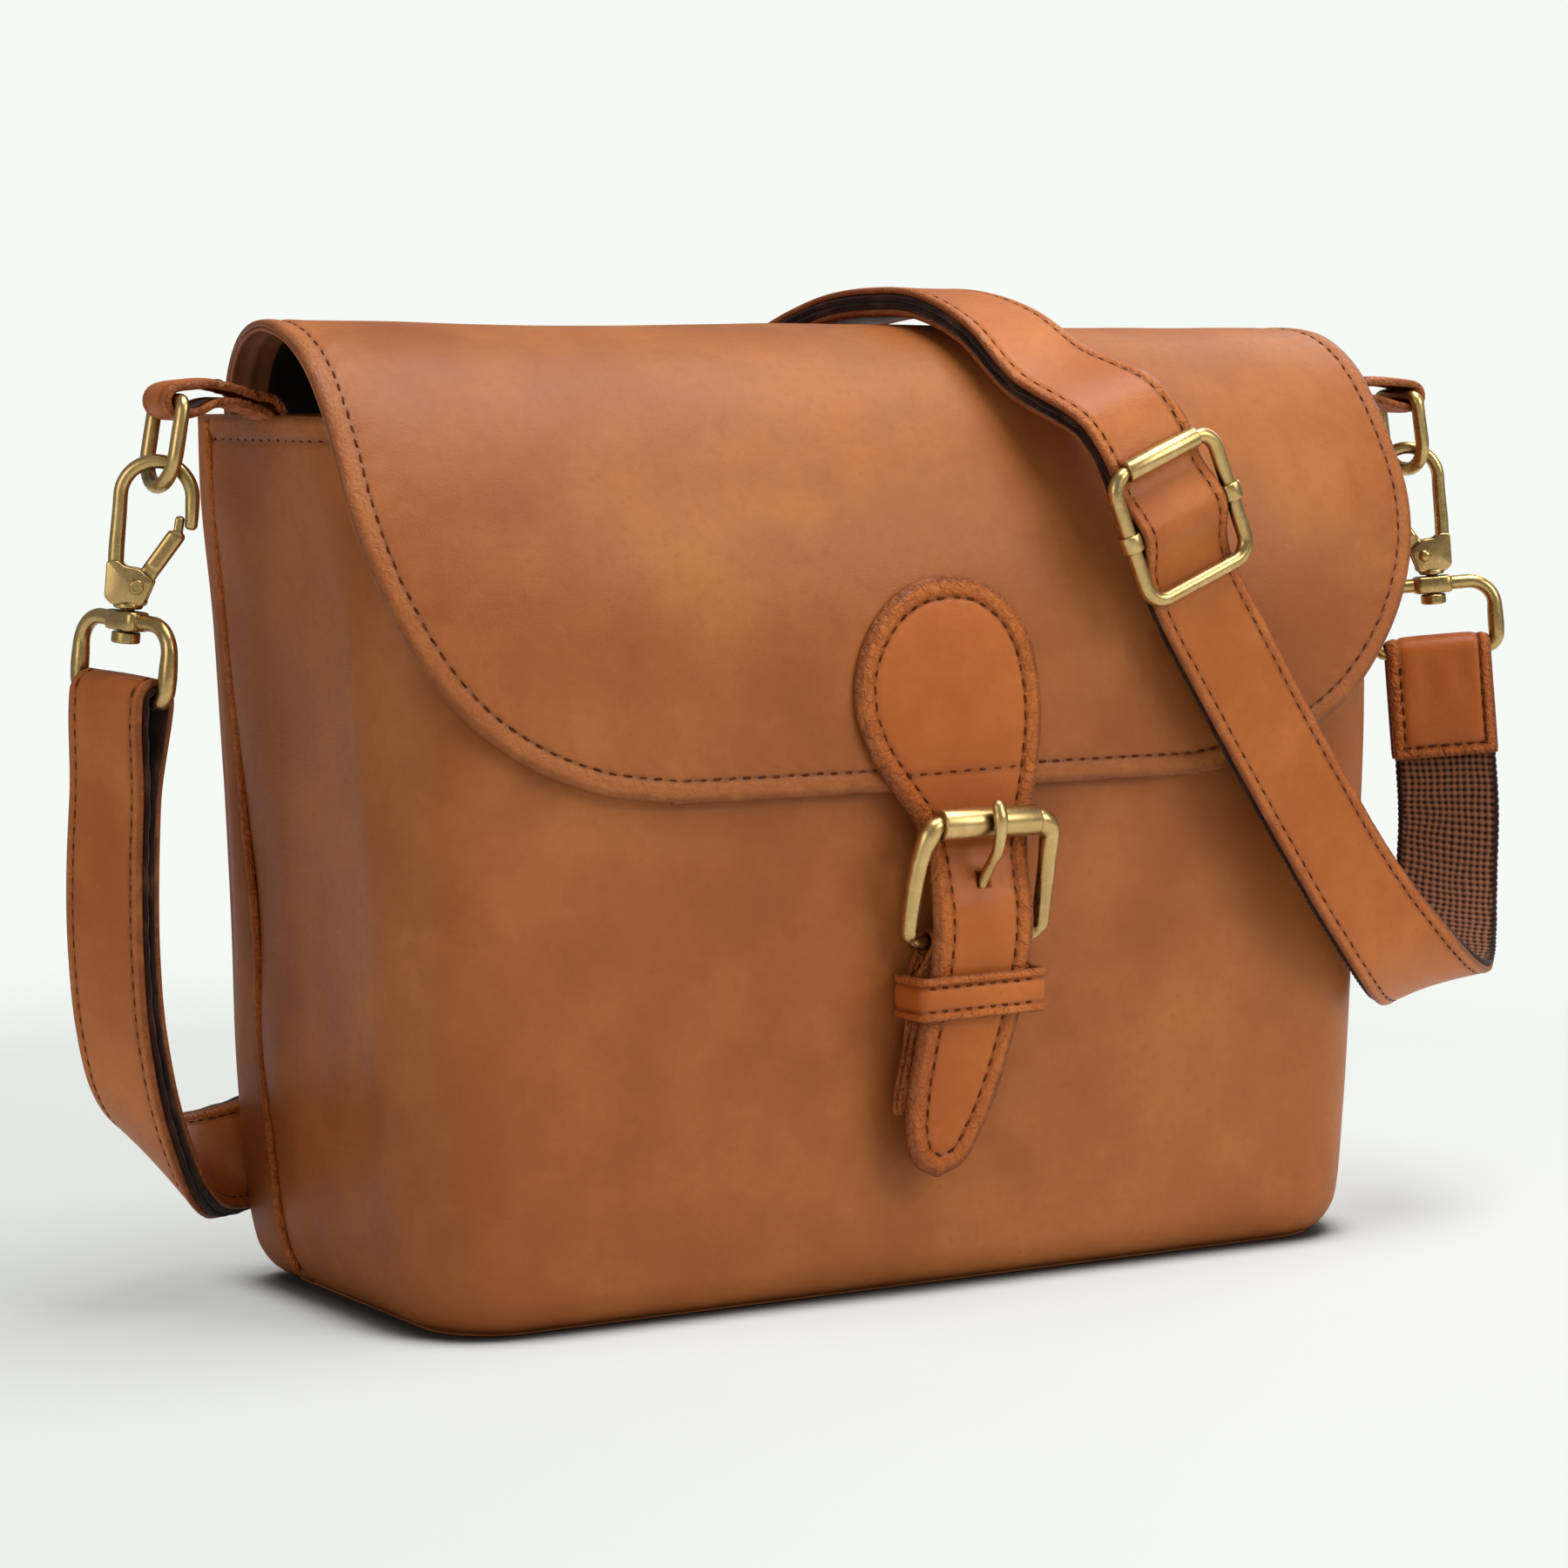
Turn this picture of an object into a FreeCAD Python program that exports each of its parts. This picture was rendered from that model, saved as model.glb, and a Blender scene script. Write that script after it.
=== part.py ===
# Leather sling bag: boxed-bottom body, fold-over flap with a roller buckle
# tab, side rings, swivel trigger hooks and an adjustable shoulder strap.
#
# Frame: origin at the centre of the underside of the base, +X to the wearer's
# right along the width, +Y to the back of the bag, +Z up. Millimetres.
import FreeCAD, Part
import math
import os

os.makedirs("parts", exist_ok=True)
V = FreeCAD.Vector
X_AXIS, Y_AXIS, Z_AXIS = V(1, 0, 0), V(0, 1, 0), V(0, 0, 1)
SIDES = (("left", -1), ("right", 1))     # side name, sign of its x


# ------------------------------------------------------------------- helpers
def save(name, shape):
    """Write one piece; compounds keep their solids as they are."""
    shape = shape.removeSplitter() if shape.ShapeType != "Compound" else shape
    shape.exportStep("parts/%s.step" % name)


def unit(vector):
    result = V(vector.x, vector.y, vector.z)
    result.normalize()
    return result


def fuse(items):
    result = items[0]
    for item in items[1:]:
        result = result.fuse(item)
    return result.removeSplitter()


def box(x0, x1, y0, y1, z0, z1):
    return Part.makeBox(x1 - x0, y1 - y0, z1 - z0, V(x0, y0, z0))


def tube(outer_r, bore_r, length, start, axis, bore_margin=0.0):
    """Hollow cylinder; the bore tool overshoots each end by bore_margin."""
    bore = Part.makeCylinder(bore_r, length + 2 * bore_margin, start - axis * bore_margin, axis)
    return Part.makeCylinder(outer_r, length, start, axis).cut(bore)


def polygon_face(points):
    closed = list(points) + [points[0]]
    return Part.Face(Part.Wire(Part.makePolygon(closed).Edges))


def extrude_yz(profile, x0, x1):
    """A (y, z) polygon extruded along X."""
    return polygon_face([V(x0, y, z) for y, z in profile]).extrude(V(x1 - x0, 0, 0))


def spline(points):
    curve = Part.BSplineCurve()
    curve.interpolate(points)
    return curve.toShape()


def arc_edge(start, middle, end):
    return Part.Arc(start, middle, end).toShape()


def line_edges(points):
    return [Part.makeLine(a, b) for a, b in zip(points, points[1:])]


def offset_outwards(profile, distance):
    """Shift a (y, z) profile away from the bag; it runs forwards over the top and down the front."""
    result = []
    for i, (y, z) in enumerate(profile):
        before = profile[max(i - 1, 0)]
        after = profile[min(i + 1, len(profile) - 1)]
        dy, dz = after[0] - before[0], after[1] - before[1]
        length = math.hypot(dy, dz)
        result.append((y + dz / length * distance, z - dy / length * distance))
    return result


def fillet_rims(shape, rim_r, fillet_r):
    """Round the full circular edges of radius rim_r."""
    rims = [e for e in shape.Edges if abs(e.Length - 2 * math.pi * rim_r) < 0.3]
    return shape.makeFillet(fillet_r, rims)


def rod(start, steps, radius):
    """Pieces of a round bar. steps: ('line', end) or ('arc', centre, axis, degrees)."""
    pieces, point = [], V(*start)
    for step in steps:
        if step[0] == "line":
            end = V(*step[1])
            pieces.append(Part.makeCylinder(radius, (end - point).Length, point, end - point))
            point = end
        else:
            centre, axis, degrees = V(*step[1]), step[2], step[3]
            tangent = axis.cross(point - centre)
            face = Part.Face(Part.Wire(Part.makeCircle(radius, point, tangent)))
            pieces.append(face.revolve(centre, axis, degrees))
            point = centre + FreeCAD.Rotation(axis, degrees).multVec(point - centre)
    return pieces


def rectangular_frame(half_w, y0, y1, z, corner_r, low_bar_r, side_r, high_bar_r):
    """Rod pieces of a rectangle with rounded corners, lying flat at height z."""
    x = half_w - corner_r
    pieces = rod((-x, y0, z), [("line", (x, y0, z))], low_bar_r)
    pieces += rod((x, y0, z), [("arc", (x, y0 + corner_r, z), Z_AXIS, 90),
                               ("line", (half_w, y1 - corner_r, z)),
                               ("arc", (x, y1 - corner_r, z), Z_AXIS, 90)], side_r)
    pieces += rod((x, y1, z), [("line", (-x, y1, z))], high_bar_r)
    pieces += rod((-x, y1, z), [("arc", (-x, y1 - corner_r, z), Z_AXIS, 90),
                                ("line", (-half_w, y0 + corner_r, z)),
                                ("arc", (-x, y0 + corner_r, z), Z_AXIS, 90)], side_r)
    return pieces


def bar_roller(outer_r, bore_r, half_length, y, z, fillet_r):
    """Hollow roller along X, centred on x = 0."""
    roller = tube(outer_r, bore_r, 2 * half_length, V(-half_length, y, z), X_AXIS, 1)
    return fillet_rims(roller, outer_r, fillet_r)


def frame_matrix(origin, ex, ey, ez):
    return FreeCAD.Matrix(ex.x, ey.x, ez.x, origin.x,
                          ex.y, ey.y, ez.y, origin.y,
                          ex.z, ey.z, ez.z, origin.z,
                          0, 0, 0, 1)


def placed(shape, matrix):
    result = shape.copy()
    result.transformShape(matrix)
    return result


# ------------------------------------------------------------ body of the bag
BODY_SECTIONS = [        # z, half width, front y, back y, front corner r, back corner r
    (0.0, 122.0, -44.5, 44.5, 17.0, 11.0),
    (3.0, 125.5, -47.6, 47.4, 19.0, 10.0),
    (9.0, 128.5, -49.4, 48.6, 20.0, 9.0),
    (36.0, 133.0, -50.0, 47.6, 23.0, 8.0),
    (80.0, 135.2, -50.0, 46.0, 24.0, 8.0),
    (118.0, 137.2, -49.8, 44.6, 24.0, 8.0),
    (150.0, 138.8, -48.4, 43.4, 24.0, 8.0),
    (170.0, 139.9, -44.8, 42.6, 24.0, 8.0),
    (186.0, 140.7, -38.8, 41.8, 22.0, 8.0),
    (202.0, 141.5, -31.4, 41.0, 20.0, 8.0),
]
RIM_Z = BODY_SECTIONS[-1][0]
LEATHER = 1.8            # body leather thickness
LINING = 0.6             # lining cloth thickness
FACING = 1.2             # rim facing thickness
LAYER_GAP = 0.25         # clearance between wall layers
MIN_CORNER_R = 1.5
BASE_T = 2.2             # base leather thickness
WALL_GAP = 0.3           # from the base leather up to the walls
BOARD_T = 1.5            # base stiffener thickness
BOARD_GAP = 0.2          # from the base leather up to the stiffener
BOARD_MARGIN = 3.0       # stiffener edge inside the body leather
LINING_FLOOR_Z = BASE_T + BOARD_T + 0.5
RIM_STEP = 0.4           # lining and facing stop this far below the rim
FACING_H = 24.0          # leather facing band inside the rim
SEAM_FROM_BACK = 7.5     # the side seam runs this far in front of the back face
SEAM_HALF_GAP = 0.9
WELT_R = 0.72
WELT_INSET = 0.62        # welt centre inside the side face
WELT_Z = (9.5, 20, 36.0, 58, 80.0, 100, 118.0, 134, 150.0, 170.0, 186.0, 200.5)


def section_wire(section, inset):
    z, half_w, front, back, front_r, back_r = section
    half_w, front, back = half_w - inset, front + inset, back - inset
    front_r = max(front_r - inset, MIN_CORNER_R)
    back_r = max(back_r - inset, MIN_CORNER_R)

    def corner(cx, cy, r, start_deg):
        angles = [math.radians(start_deg + turn) for turn in (0, 45, 90)]
        return arc_edge(*[V(cx + r * math.cos(a), cy + r * math.sin(a), z) for a in angles])

    def line(x0, y0, x1, y1):
        return Part.makeLine(V(x0, y0, z), V(x1, y1, z))

    return Part.Wire([
        line(-half_w + front_r, front, half_w - front_r, front),
        corner(half_w - front_r, front + front_r, front_r, -90),
        line(half_w, front + front_r, half_w, back - back_r),
        corner(half_w - back_r, back - back_r, back_r, 0),
        line(half_w - back_r, back, -half_w + back_r, back),
        corner(-half_w + back_r, back - back_r, back_r, 90),
        line(-half_w, back - back_r, -half_w, front + front_r),
        corner(-half_w + front_r, front + front_r, front_r, 180),
    ])


def body_loft(inset):
    return Part.makeLoft([section_wire(s, inset) for s in BODY_SECTIONS], True, True)


def section_at(z):
    for low, high in zip(BODY_SECTIONS, BODY_SECTIONS[1:]):
        if low[0] <= z <= high[0]:
            t = (z - low[0]) / (high[0] - low[0])
            return [a + (b - a) * t for a, b in zip(low, high)]


def slab(z0, z1):
    """Block wider and deeper than the bag, between two heights."""
    return box(-200, 200, -100, 100, z0, z1)


def seam_block(shift, far_y):
    """Block from the shifted seam line to far_y; the seam follows the back face."""
    line = [[s[3] - SEAM_FROM_BACK + shift, s[0]] for s in BODY_SECTIONS]
    line[0][1] -= 5
    line[-1][1] += 5
    return extrude_yz(line + [(far_y, line[-1][1]), (far_y, line[0][1])], -200, 200)


def body_panels():
    shell = body_loft(0.0).cut(body_loft(LEATHER))
    walls = shell.common(slab(BASE_T + WALL_GAP, RIM_Z + 1))
    save("front_panel", walls.common(seam_block(-SEAM_HALF_GAP, -120.0)))
    save("back_panel", walls.common(seam_block(SEAM_HALF_GAP, 120.0)))


def base_panel():
    return body_loft(0.0).common(slab(0.0, BASE_T))


def base_board():
    z0 = BASE_T + BOARD_GAP
    return body_loft(LEATHER + BOARD_MARGIN).common(slab(z0, z0 + BOARD_T))


def bag_lining():
    outer = body_loft(LEATHER + LAYER_GAP)
    inner = body_loft(LEATHER + LAYER_GAP + LINING)
    floor_top = LINING_FLOOR_Z + LINING
    walls = outer.cut(inner).common(slab(floor_top, RIM_Z - RIM_STEP))
    floor = outer.common(slab(LINING_FLOOR_Z, floor_top))
    return fuse([walls, floor])


def rim_facing():
    inset = LEATHER + LAYER_GAP + LINING + LAYER_GAP
    band = body_loft(inset).cut(body_loft(inset + FACING))
    return band.common(slab(RIM_Z - FACING_H, RIM_Z - RIM_STEP))


def side_welt(sign):
    """Bead filling the side seam."""
    rings = []
    for z in WELT_Z:
        section = section_at(z)
        centre = V(sign * (section[1] - WELT_INSET), section[3] - SEAM_FROM_BACK, z)
        rings.append(Part.Wire(Part.makeCircle(WELT_R, centre, Z_AXIS)))
    return Part.makeLoft(rings, True, True)


def flap_root_band():
    """Strip where the flap is sewn to the outside of the back panel."""
    half_length, gap, thickness = 134, 0.3, 2.0
    inner = [(section_at(z)[3] + gap, z) for z in (182.0, 188.0, 194.0, 199.0)]
    outer = [(y + thickness, z) for y, z in reversed(inner)]
    top = [(43.6, 201.6), (46.0, 201.6)]
    return extrude_yz(inner + top + outer, -half_length, half_length)


body_panels()
save("base_panel", base_panel())
save("base_board", base_board())
save("bag_lining", bag_lining())
save("rim_facing", rim_facing())
for side, sign in SIDES:
    save("side_welt_" + side, side_welt(sign))
save("flap_root_band", flap_root_band())

# ------------------------------------------------------------------ the flap
FLAP_LEATHER = 1.6
FLAP_LINING = 0.8
FLAP_LAYER_GAP = 0.12
FLAP_LINING_INSET = 2.2  # lining edge inside the leather edge
FLAP_PROFILE = [         # outer face, from the back over the crest to the lower edge (y, z)
    (46.0, 203.0), (44.2, 208.6), (39.0, 214.6), (30.0, 219.6), (17.0, 222.6),
    (3.0, 223.3), (-10.0, 221.6), (-21.5, 216.6), (-31.5, 208.3), (-40.5, 197.0),
    (-47.4, 184.0), (-51.8, 170.5), (-53.8, 157.0), (-54.0, 140.0), (-54.0, 117.4),
]
FLAP_OUTLINE = [         # right-hand edge of the flap, from the lower edge up (x, z)
    (72.0, 117.6), (90.0, 120.4), (106.0, 126.4), (120.0, 135.6), (130.0, 146.6),
    (137.0, 158.6), (142.0, 172.0), (144.6, 186.0), (145.0, 200.0),
]
FLAP_HALF_W = FLAP_OUTLINE[-1][0]


def flap_mask(inset):
    """Block along Y with the flap's outline, cut back by inset."""
    y, top = -80, 240.0
    scale = (FLAP_HALF_W - inset) / FLAP_HALF_W
    half_w = FLAP_HALF_W * scale
    right = [V(x * scale, y, z + inset) for x, z in FLAP_OUTLINE]
    left = [V(-p.x, p.y, p.z) for p in right]
    edges = [Part.makeLine(left[0], right[0]), spline(right)]
    edges += line_edges([right[-1], V(half_w, y, top), V(-half_w, y, top), left[-1]])
    edges.append(spline(left))
    return Part.Face(Part.Wire(Part.__sortEdges__(edges))).extrude(V(0, 200, 0))


def flap_sheet(outer_depth, inner_depth, inset):
    """Layer of the flap between two depths below its outer face."""
    x = -150
    outer = [V(x, y, z) for y, z in offset_outwards(FLAP_PROFILE, -outer_depth)]
    inner = [V(x, y, z) for y, z in offset_outwards(FLAP_PROFILE, -inner_depth)]
    wire = Part.Wire([
        spline(outer), Part.makeLine(outer[-1], inner[-1]),
        spline(inner[::-1]), Part.makeLine(inner[0], outer[0]),
    ])
    sheet = Part.Face(wire).extrude(V(-2 * x, 0, 0))
    return sheet.common(flap_mask(inset))


save("flap_leather", flap_sheet(0.0, FLAP_LEATHER, 0.0))
lining_depth = FLAP_LEATHER + FLAP_LAYER_GAP
save("flap_lining", flap_sheet(lining_depth, lining_depth + FLAP_LINING, FLAP_LINING_INSET))

# ------------------------------------------------------- closure on the flap
BUCKLE_X = 6.0                       # centre of the buckle
BAR_Y, BAR_Z = -56.2, 82.0           # hidden hinge bar of the buckle
BAR_R = 1.75
ROLLER_Y, ROLLER_Z = -61.6, 109.5
BUCKLE_HALF = 18.2                   # half distance between the buckle legs
BUCKLE_LEG_R = 1.9
BUCKLE_CORNER_R = 3.6
ROLLER_BAR_R = 1.7

TAB_T = 2.2
TAB_BACK = [             # back face of tab and tail: down the flap, under the roller,
    (-52.9, 166.5), (-54.05, 155.0), (-54.2, 140.0), (-54.2, 118.0), (-54.3, 112.0),
    (-55.0, 106.0), (-57.4, 97.0), (-59.6, 89.5), (-60.2, 82.0), (-59.6, 74.0),
    (-58.9, 66.0), (-58.7, 56.0), (-58.3, 44.0), (-57.4, 28.0),
]                        # over the hinge bar and down to the tip (y, z)
TAB_LEFT = [             # left edge, from the top down to the tip (x, z)
    (-0.8, 165.2), (-9.5, 163.4), (-17.0, 158.6), (-22.5, 151.2), (-25.0, 142.5),
    (-24.0, 133.0), (-20.0, 124.5), (-13.5, 116.0), (-8.6, 109.5), (-6.8, 103.0),
    (-6.8, 96.0), (-7.2, 84.0), (-8.6, 70.0), (-11.2, 58.0), (-13.0, 47.0),
    (-13.0, 38.0), (-10.6, 31.6), (-5.2, 28.6),
]
TAB_RIGHT = [            # right edge, from the tip back up to the top (x, z)
    (-5.2, 28.6), (1.2, 31.4), (5.6, 38.0), (9.8, 47.0), (13.6, 58.0), (16.8, 70.0),
    (18.4, 84.0), (18.9, 96.0), (19.6, 103.0), (21.0, 109.5), (22.8, 117.0),
    (24.0, 126.0), (24.4, 135.0), (23.4, 143.5), (20.8, 151.5), (15.4, 159.0),
    (8.0, 163.8), (-0.8, 165.2),
]
HOLE_Z = 97.5
SLOT_HALF_W = 2.2
SLOT_BELOW, SLOT_ABOVE = 11.0, 4.0   # long enough for the prong to lift

CHAPE_HALF_W = 12.0
CHAPE_IN_R, CHAPE_OUT_R = 1.95, 3.25
CHAPE_WINDOW_HALF_W = 2.9

KEEPER_X = (-12.6, 20.8)
KEEPER_Y = (-64.3, -50.9)
KEEPER_Z = (65.2, 75.0)
KEEPER_END_T, KEEPER_FACE_T = 1.6, 1.4
KEEPER_FILLET = 0.9

SNAP_Z = 52.0
SNAP_R = 8.0             # socket and backing disc


def closure_strap():
    """Tab on the flap with its tail, slotted for the prong."""
    front = offset_outwards(TAB_BACK, TAB_T)
    sheet = extrude_yz(TAB_BACK + front[::-1], -60, 60)
    edges = [spline([V(x, -80, z) for x, z in edge]) for edge in (TAB_LEFT, TAB_RIGHT)]
    mask = Part.Face(Part.Wire(edges)).extrude(V(0, 60, 0))
    slot = box(BUCKLE_X - SLOT_HALF_W, BUCKLE_X + SLOT_HALF_W, -70, -50,
               HOLE_Z - SLOT_BELOW, HOLE_Z + SLOT_ABOVE)
    return sheet.common(mask).cut(slot)


def closure_chape():
    """Leather folded round the hinge bar, with two layers below it."""
    x0, x1 = BUCKLE_X - CHAPE_HALF_W, BUCKLE_X + CHAPE_HALF_W
    barrel = tube(CHAPE_OUT_R, CHAPE_IN_R, x1 - x0, V(x0, BAR_Y, BAR_Z), X_AXIS)
    back_leg = extrude_yz([
        (BAR_Y + CHAPE_IN_R, BAR_Z), (BAR_Y + CHAPE_OUT_R, BAR_Z),
        (-53.2, 72.0), (-53.2, 42.0), (-54.7, 42.0), (-54.7, 72.0)], x0, x1)
    front_leg = extrude_yz([
        (BAR_Y - CHAPE_OUT_R, BAR_Z), (BAR_Y - CHAPE_IN_R, BAR_Z),
        (-54.9, 72.0), (-54.9, 44.0), (-57.3, 44.0), (-57.3, 72.0)], x0, x1)
    barrel = barrel.cut(box(x0 - 1, x1 + 1, BAR_Y - 5, BAR_Y + 5, BAR_Z - 6, BAR_Z))
    chape = fuse([barrel, back_leg]).fuse(front_leg)
    # narrow window through the fold for the prong
    window = box(BUCKLE_X - CHAPE_WINDOW_HALF_W, BUCKLE_X + CHAPE_WINDOW_HALF_W,
                 -66, -48, BAR_Z - 4.5, BAR_Z + 8)
    return chape.cut(window).removeSplitter()


def keeper_loop():
    """Flat leather loop round tail and chape, its upright outer edges rounded."""
    x0, x1 = KEEPER_X
    y0, y1 = KEEPER_Y
    z0, z1 = KEEPER_Z
    keeper = box(x0, x1, y0, y1, z0, z1).cut(
        box(x0 + KEEPER_END_T, x1 - KEEPER_END_T, y0 + KEEPER_FACE_T, y1 - KEEPER_FACE_T,
            z0 - 1, z1 + 1))

    def is_outer_upright(edge):
        first, last = edge.Vertexes[0], edge.Vertexes[-1]
        return abs(first.Z - last.Z) > 5 and min(abs(first.X - x0), abs(first.X - x1)) < 0.01

    return keeper.makeFillet(KEEPER_FILLET, [e for e in keeper.Edges if is_outer_upright(e)])


def snap_pieces():
    """Magnetic snap behind the chape: stud, socket and a backing disc inside the bag."""
    def disc(radius, thickness, y, direction):
        return Part.makeCylinder(radius, thickness, V(BUCKLE_X, y, SNAP_Z), direction)

    forwards = Y_AXIS * -1
    save("snap_stud", disc(7.0, 0.9, -52.1, forwards))
    socket = disc(SNAP_R, 1.5, -50.15, forwards)
    save("snap_socket", socket.cut(disc(3.0, 3.0, -50.9, forwards)))
    save("snap_backing", disc(SNAP_R, 0.8, -46.0, Y_AXIS))


def buckle_frame_and_roller():
    """Drawn flat with the hinge bar on local X, then tilted so local Y meets the roller."""
    dy, dz = ROLLER_Y - BAR_Y, ROLLER_Z - BAR_Z
    length = math.hypot(dy, dz)
    to_roller = unit(V(0, dy, dz))
    matrix = frame_matrix(V(BUCKLE_X, BAR_Y, BAR_Z), X_AXIS, to_roller, X_AXIS.cross(to_roller))
    frame = rectangular_frame(BUCKLE_HALF, 0, length, 0, BUCKLE_CORNER_R,
                              BAR_R, BUCKLE_LEG_R, ROLLER_BAR_R)
    save("buckle_frame", placed(fuse(frame), matrix))
    roller = bar_roller(outer_r=3.6, bore_r=1.78, half_length=13.6, y=length, z=0, fillet_r=0.5)
    save("buckle_roller", placed(roller, matrix))


def buckle_prong():
    """Eye round the hinge bar, blade through the slot, tip in front of the roller."""
    blade_r, half_eye = 1.35, 2.0
    eye = tube(3.1, 1.82, 2 * half_eye, V(BUCKLE_X - half_eye, BAR_Y, BAR_Z), X_AXIS, 1)
    centre_line = [V(BUCKLE_X, y, z) for y, z in (
        (BAR_Y - 0.6, BAR_Z + 2.45), (-57.4, 90.0), (-61.9, 96.6), (-65.9, 102.6),
        (-66.95, 107.2), (-67.0, 111.0), (-66.3, 113.4))]
    circle = Part.makeCircle(blade_r, centre_line[0], centre_line[1] - centre_line[0])
    blade = Part.Wire(spline(centre_line)).makePipeShell([Part.Wire(circle)], True, True)
    return fuse([eye, blade, Part.makeSphere(blade_r, centre_line[-1])])


save("closure_strap", closure_strap())
save("closure_chape", closure_chape())
save("keeper_loop", keeper_loop())
snap_pieces()
buckle_frame_and_roller()
save("buckle_prong", buckle_prong())

# ----------------------------------------------------- rings and anchor tabs
WIRE = 1.7               # wire radius of the rings
RING_BAR_Z = 206.0
RING_X = {"left": -164.6, "right": 168.6}
RING_Y = {"left": 8.0, "right": -8.0}
RING_HALF = 7.6          # half length of the ring bar
RING_DROP = 18.0         # bar to the point that locates the hook
RING_PLAY = 1.0          # the ring hangs this much lower, so that ring and hook can swing
RING_LEAN = 10.0         # degrees the ring leans outwards
TAB_HALF_W = 5.6
TAB_IN_R = WIRE + 0.2
TAB_OUT_R = TAB_IN_R + 1.5
TAB_INNER_X, TAB_OUTER_X = 133.4, 136.2  # faces of the leg inside the rim


def ring_axes(side, sign):
    """Centre of the ring bar and the direction down the ring."""
    lean = math.radians(RING_LEAN)
    centre = V(RING_X[side], RING_Y[side], RING_BAR_Z)
    return centre, V(sign * math.sin(lean), 0, -math.cos(lean))


def side_ring(side, sign):
    """D-shaped ring: straight bar, two short legs and a half circle."""
    centre, down = ring_axes(side, sign)
    half = RING_HALF
    leg = RING_DROP + RING_PLAY - half
    pieces = rod((-half, 0, 0), [("line", (half, 0, 0)), ("line", (half, leg, 0)),
                                 ("arc", (0, leg, 0), Z_AXIS, 180),
                                 ("line", (-half, 0, 0))], WIRE)
    pieces += [Part.makeSphere(WIRE, V(x, 0, 0)) for x in (-half, half)]
    return placed(fuse(pieces), frame_matrix(centre, Y_AXIS, down, Y_AXIS.cross(down)))


def anchor_tab(side, sign):
    """Leather tab from inside the bag over the rim and round the ring bar."""
    bar_x, y0 = RING_X[side], RING_Y[side] - TAB_HALF_W
    width = 2 * TAB_HALF_W
    wrap = tube(TAB_OUT_R, TAB_IN_R, width, V(bar_x, y0, RING_BAR_Z), Y_AXIS)
    inner, outer = sign * TAB_INNER_X, sign * TAB_OUTER_X
    outline = [              # x, z
        (inner, 184.0), (outer, 184.0), (outer, 203.1), (bar_x - sign * 2.2, 202.95),
        (bar_x - sign * 2.2, 206.0), (bar_x - sign * 1.0, 209.0),
        (bar_x - sign * 12, 208.2), (inner + sign * 3, 206.4), (inner, 204.5),
    ]
    leg = polygon_face([V(x, y0, z) for x, z in outline]).extrude(V(0, width, 0))
    leg = leg.cut(Part.makeCylinder(TAB_IN_R, 40, V(bar_x, y0 - 5, RING_BAR_Z), Y_AXIS))
    return fuse([wrap, leg])


for side, sign in SIDES:
    save("ring_" + side, side_ring(side, sign))
    save("anchor_tab_" + side, anchor_tab(side, sign))

# ------------------------------------------------------------- trigger hooks
# Local frame of a hook: x across, y up, z through the thickness.
HOOK_LEAN = 5.0
HOOK_ACROSS = V(0.853, -0.522, 0)    # horizontal direction across the hooks
HOOK_RING_AT = (4.9, 27.9)           # local x, y of the ring in the hook
HOOK_T = 3.6                         # thickness of the hook bow
FORK_T = 5.2                         # thickness of the fork that carries the gate
BOW_X, BOW_Y = 4.9, 24.4             # centre of the bow
BOW_OUT_R, BOW_IN_R = 9.5, 6.1
GATE_T = 2.2
PIVOT_X, PIVOT_Y = 2.3, 4.4          # gate rivet
PIVOT_HOLE_R = 0.98
STEM_X = 0.4                         # axis of the stem
LOOP_TURN = {"left": 43.5, "right": 0.0}     # degrees about the stem
LOOP_BELOW_HOOK = 3.2
LOOP_WIRE = 1.8
LOOP_HALF = 15.6                     # half width of the swivel loop, wire centre
LOOP_DROP = 17.0                     # swivel boss centre down to the strap bar centre
LOOP_TOP_R, LOOP_BOTTOM_R = 6.0, 2.6     # corner radii, wire centre


def hook_axes(side, sign):
    """Origin and the across, up and normal directions of a hook."""
    level = unit(HOOK_ACROSS) * -sign
    lean = math.radians(HOOK_LEAN)
    up = Z_AXIS * math.cos(lean) + level * math.sin(lean)
    across = level * math.cos(lean) - Z_AXIS * math.sin(lean)
    ring_bar, ring_down = ring_axes(side, sign)
    ring_point = ring_bar + ring_down * RING_DROP
    origin = ring_point - across * HOOK_RING_AT[0] - up * HOOK_RING_AT[1]
    return origin, across, up, across.cross(up)


def loop_axes(side, sign):
    """Boss centre and directions of a swivel loop, turned about the stem."""
    origin, across, up, normal = hook_axes(side, sign)
    turn = math.radians(LOOP_TURN[side])
    loop_across = across * math.cos(turn) + normal * math.sin(turn)
    loop_normal = normal * math.cos(turn) - across * math.sin(turn)
    return origin + across * STEM_X - up * LOOP_BELOW_HOOK, loop_across, up, loop_normal


def loop_bar(side, sign):
    """Centre of the loop's strap bar, direction along it and direction up."""
    boss, across, up, _ = loop_axes(side, sign)
    return boss - up * LOOP_DROP, across, up


def pivot_cylinder(radius, height, z):
    return Part.makeCylinder(radius, height, V(PIVOT_X, PIVOT_Y, z), Z_AXIS)


def stem_cylinder(radius, height, y):
    return Part.makeCylinder(radius, height, V(STEM_X, y, 0), Y_AXIS)


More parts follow.
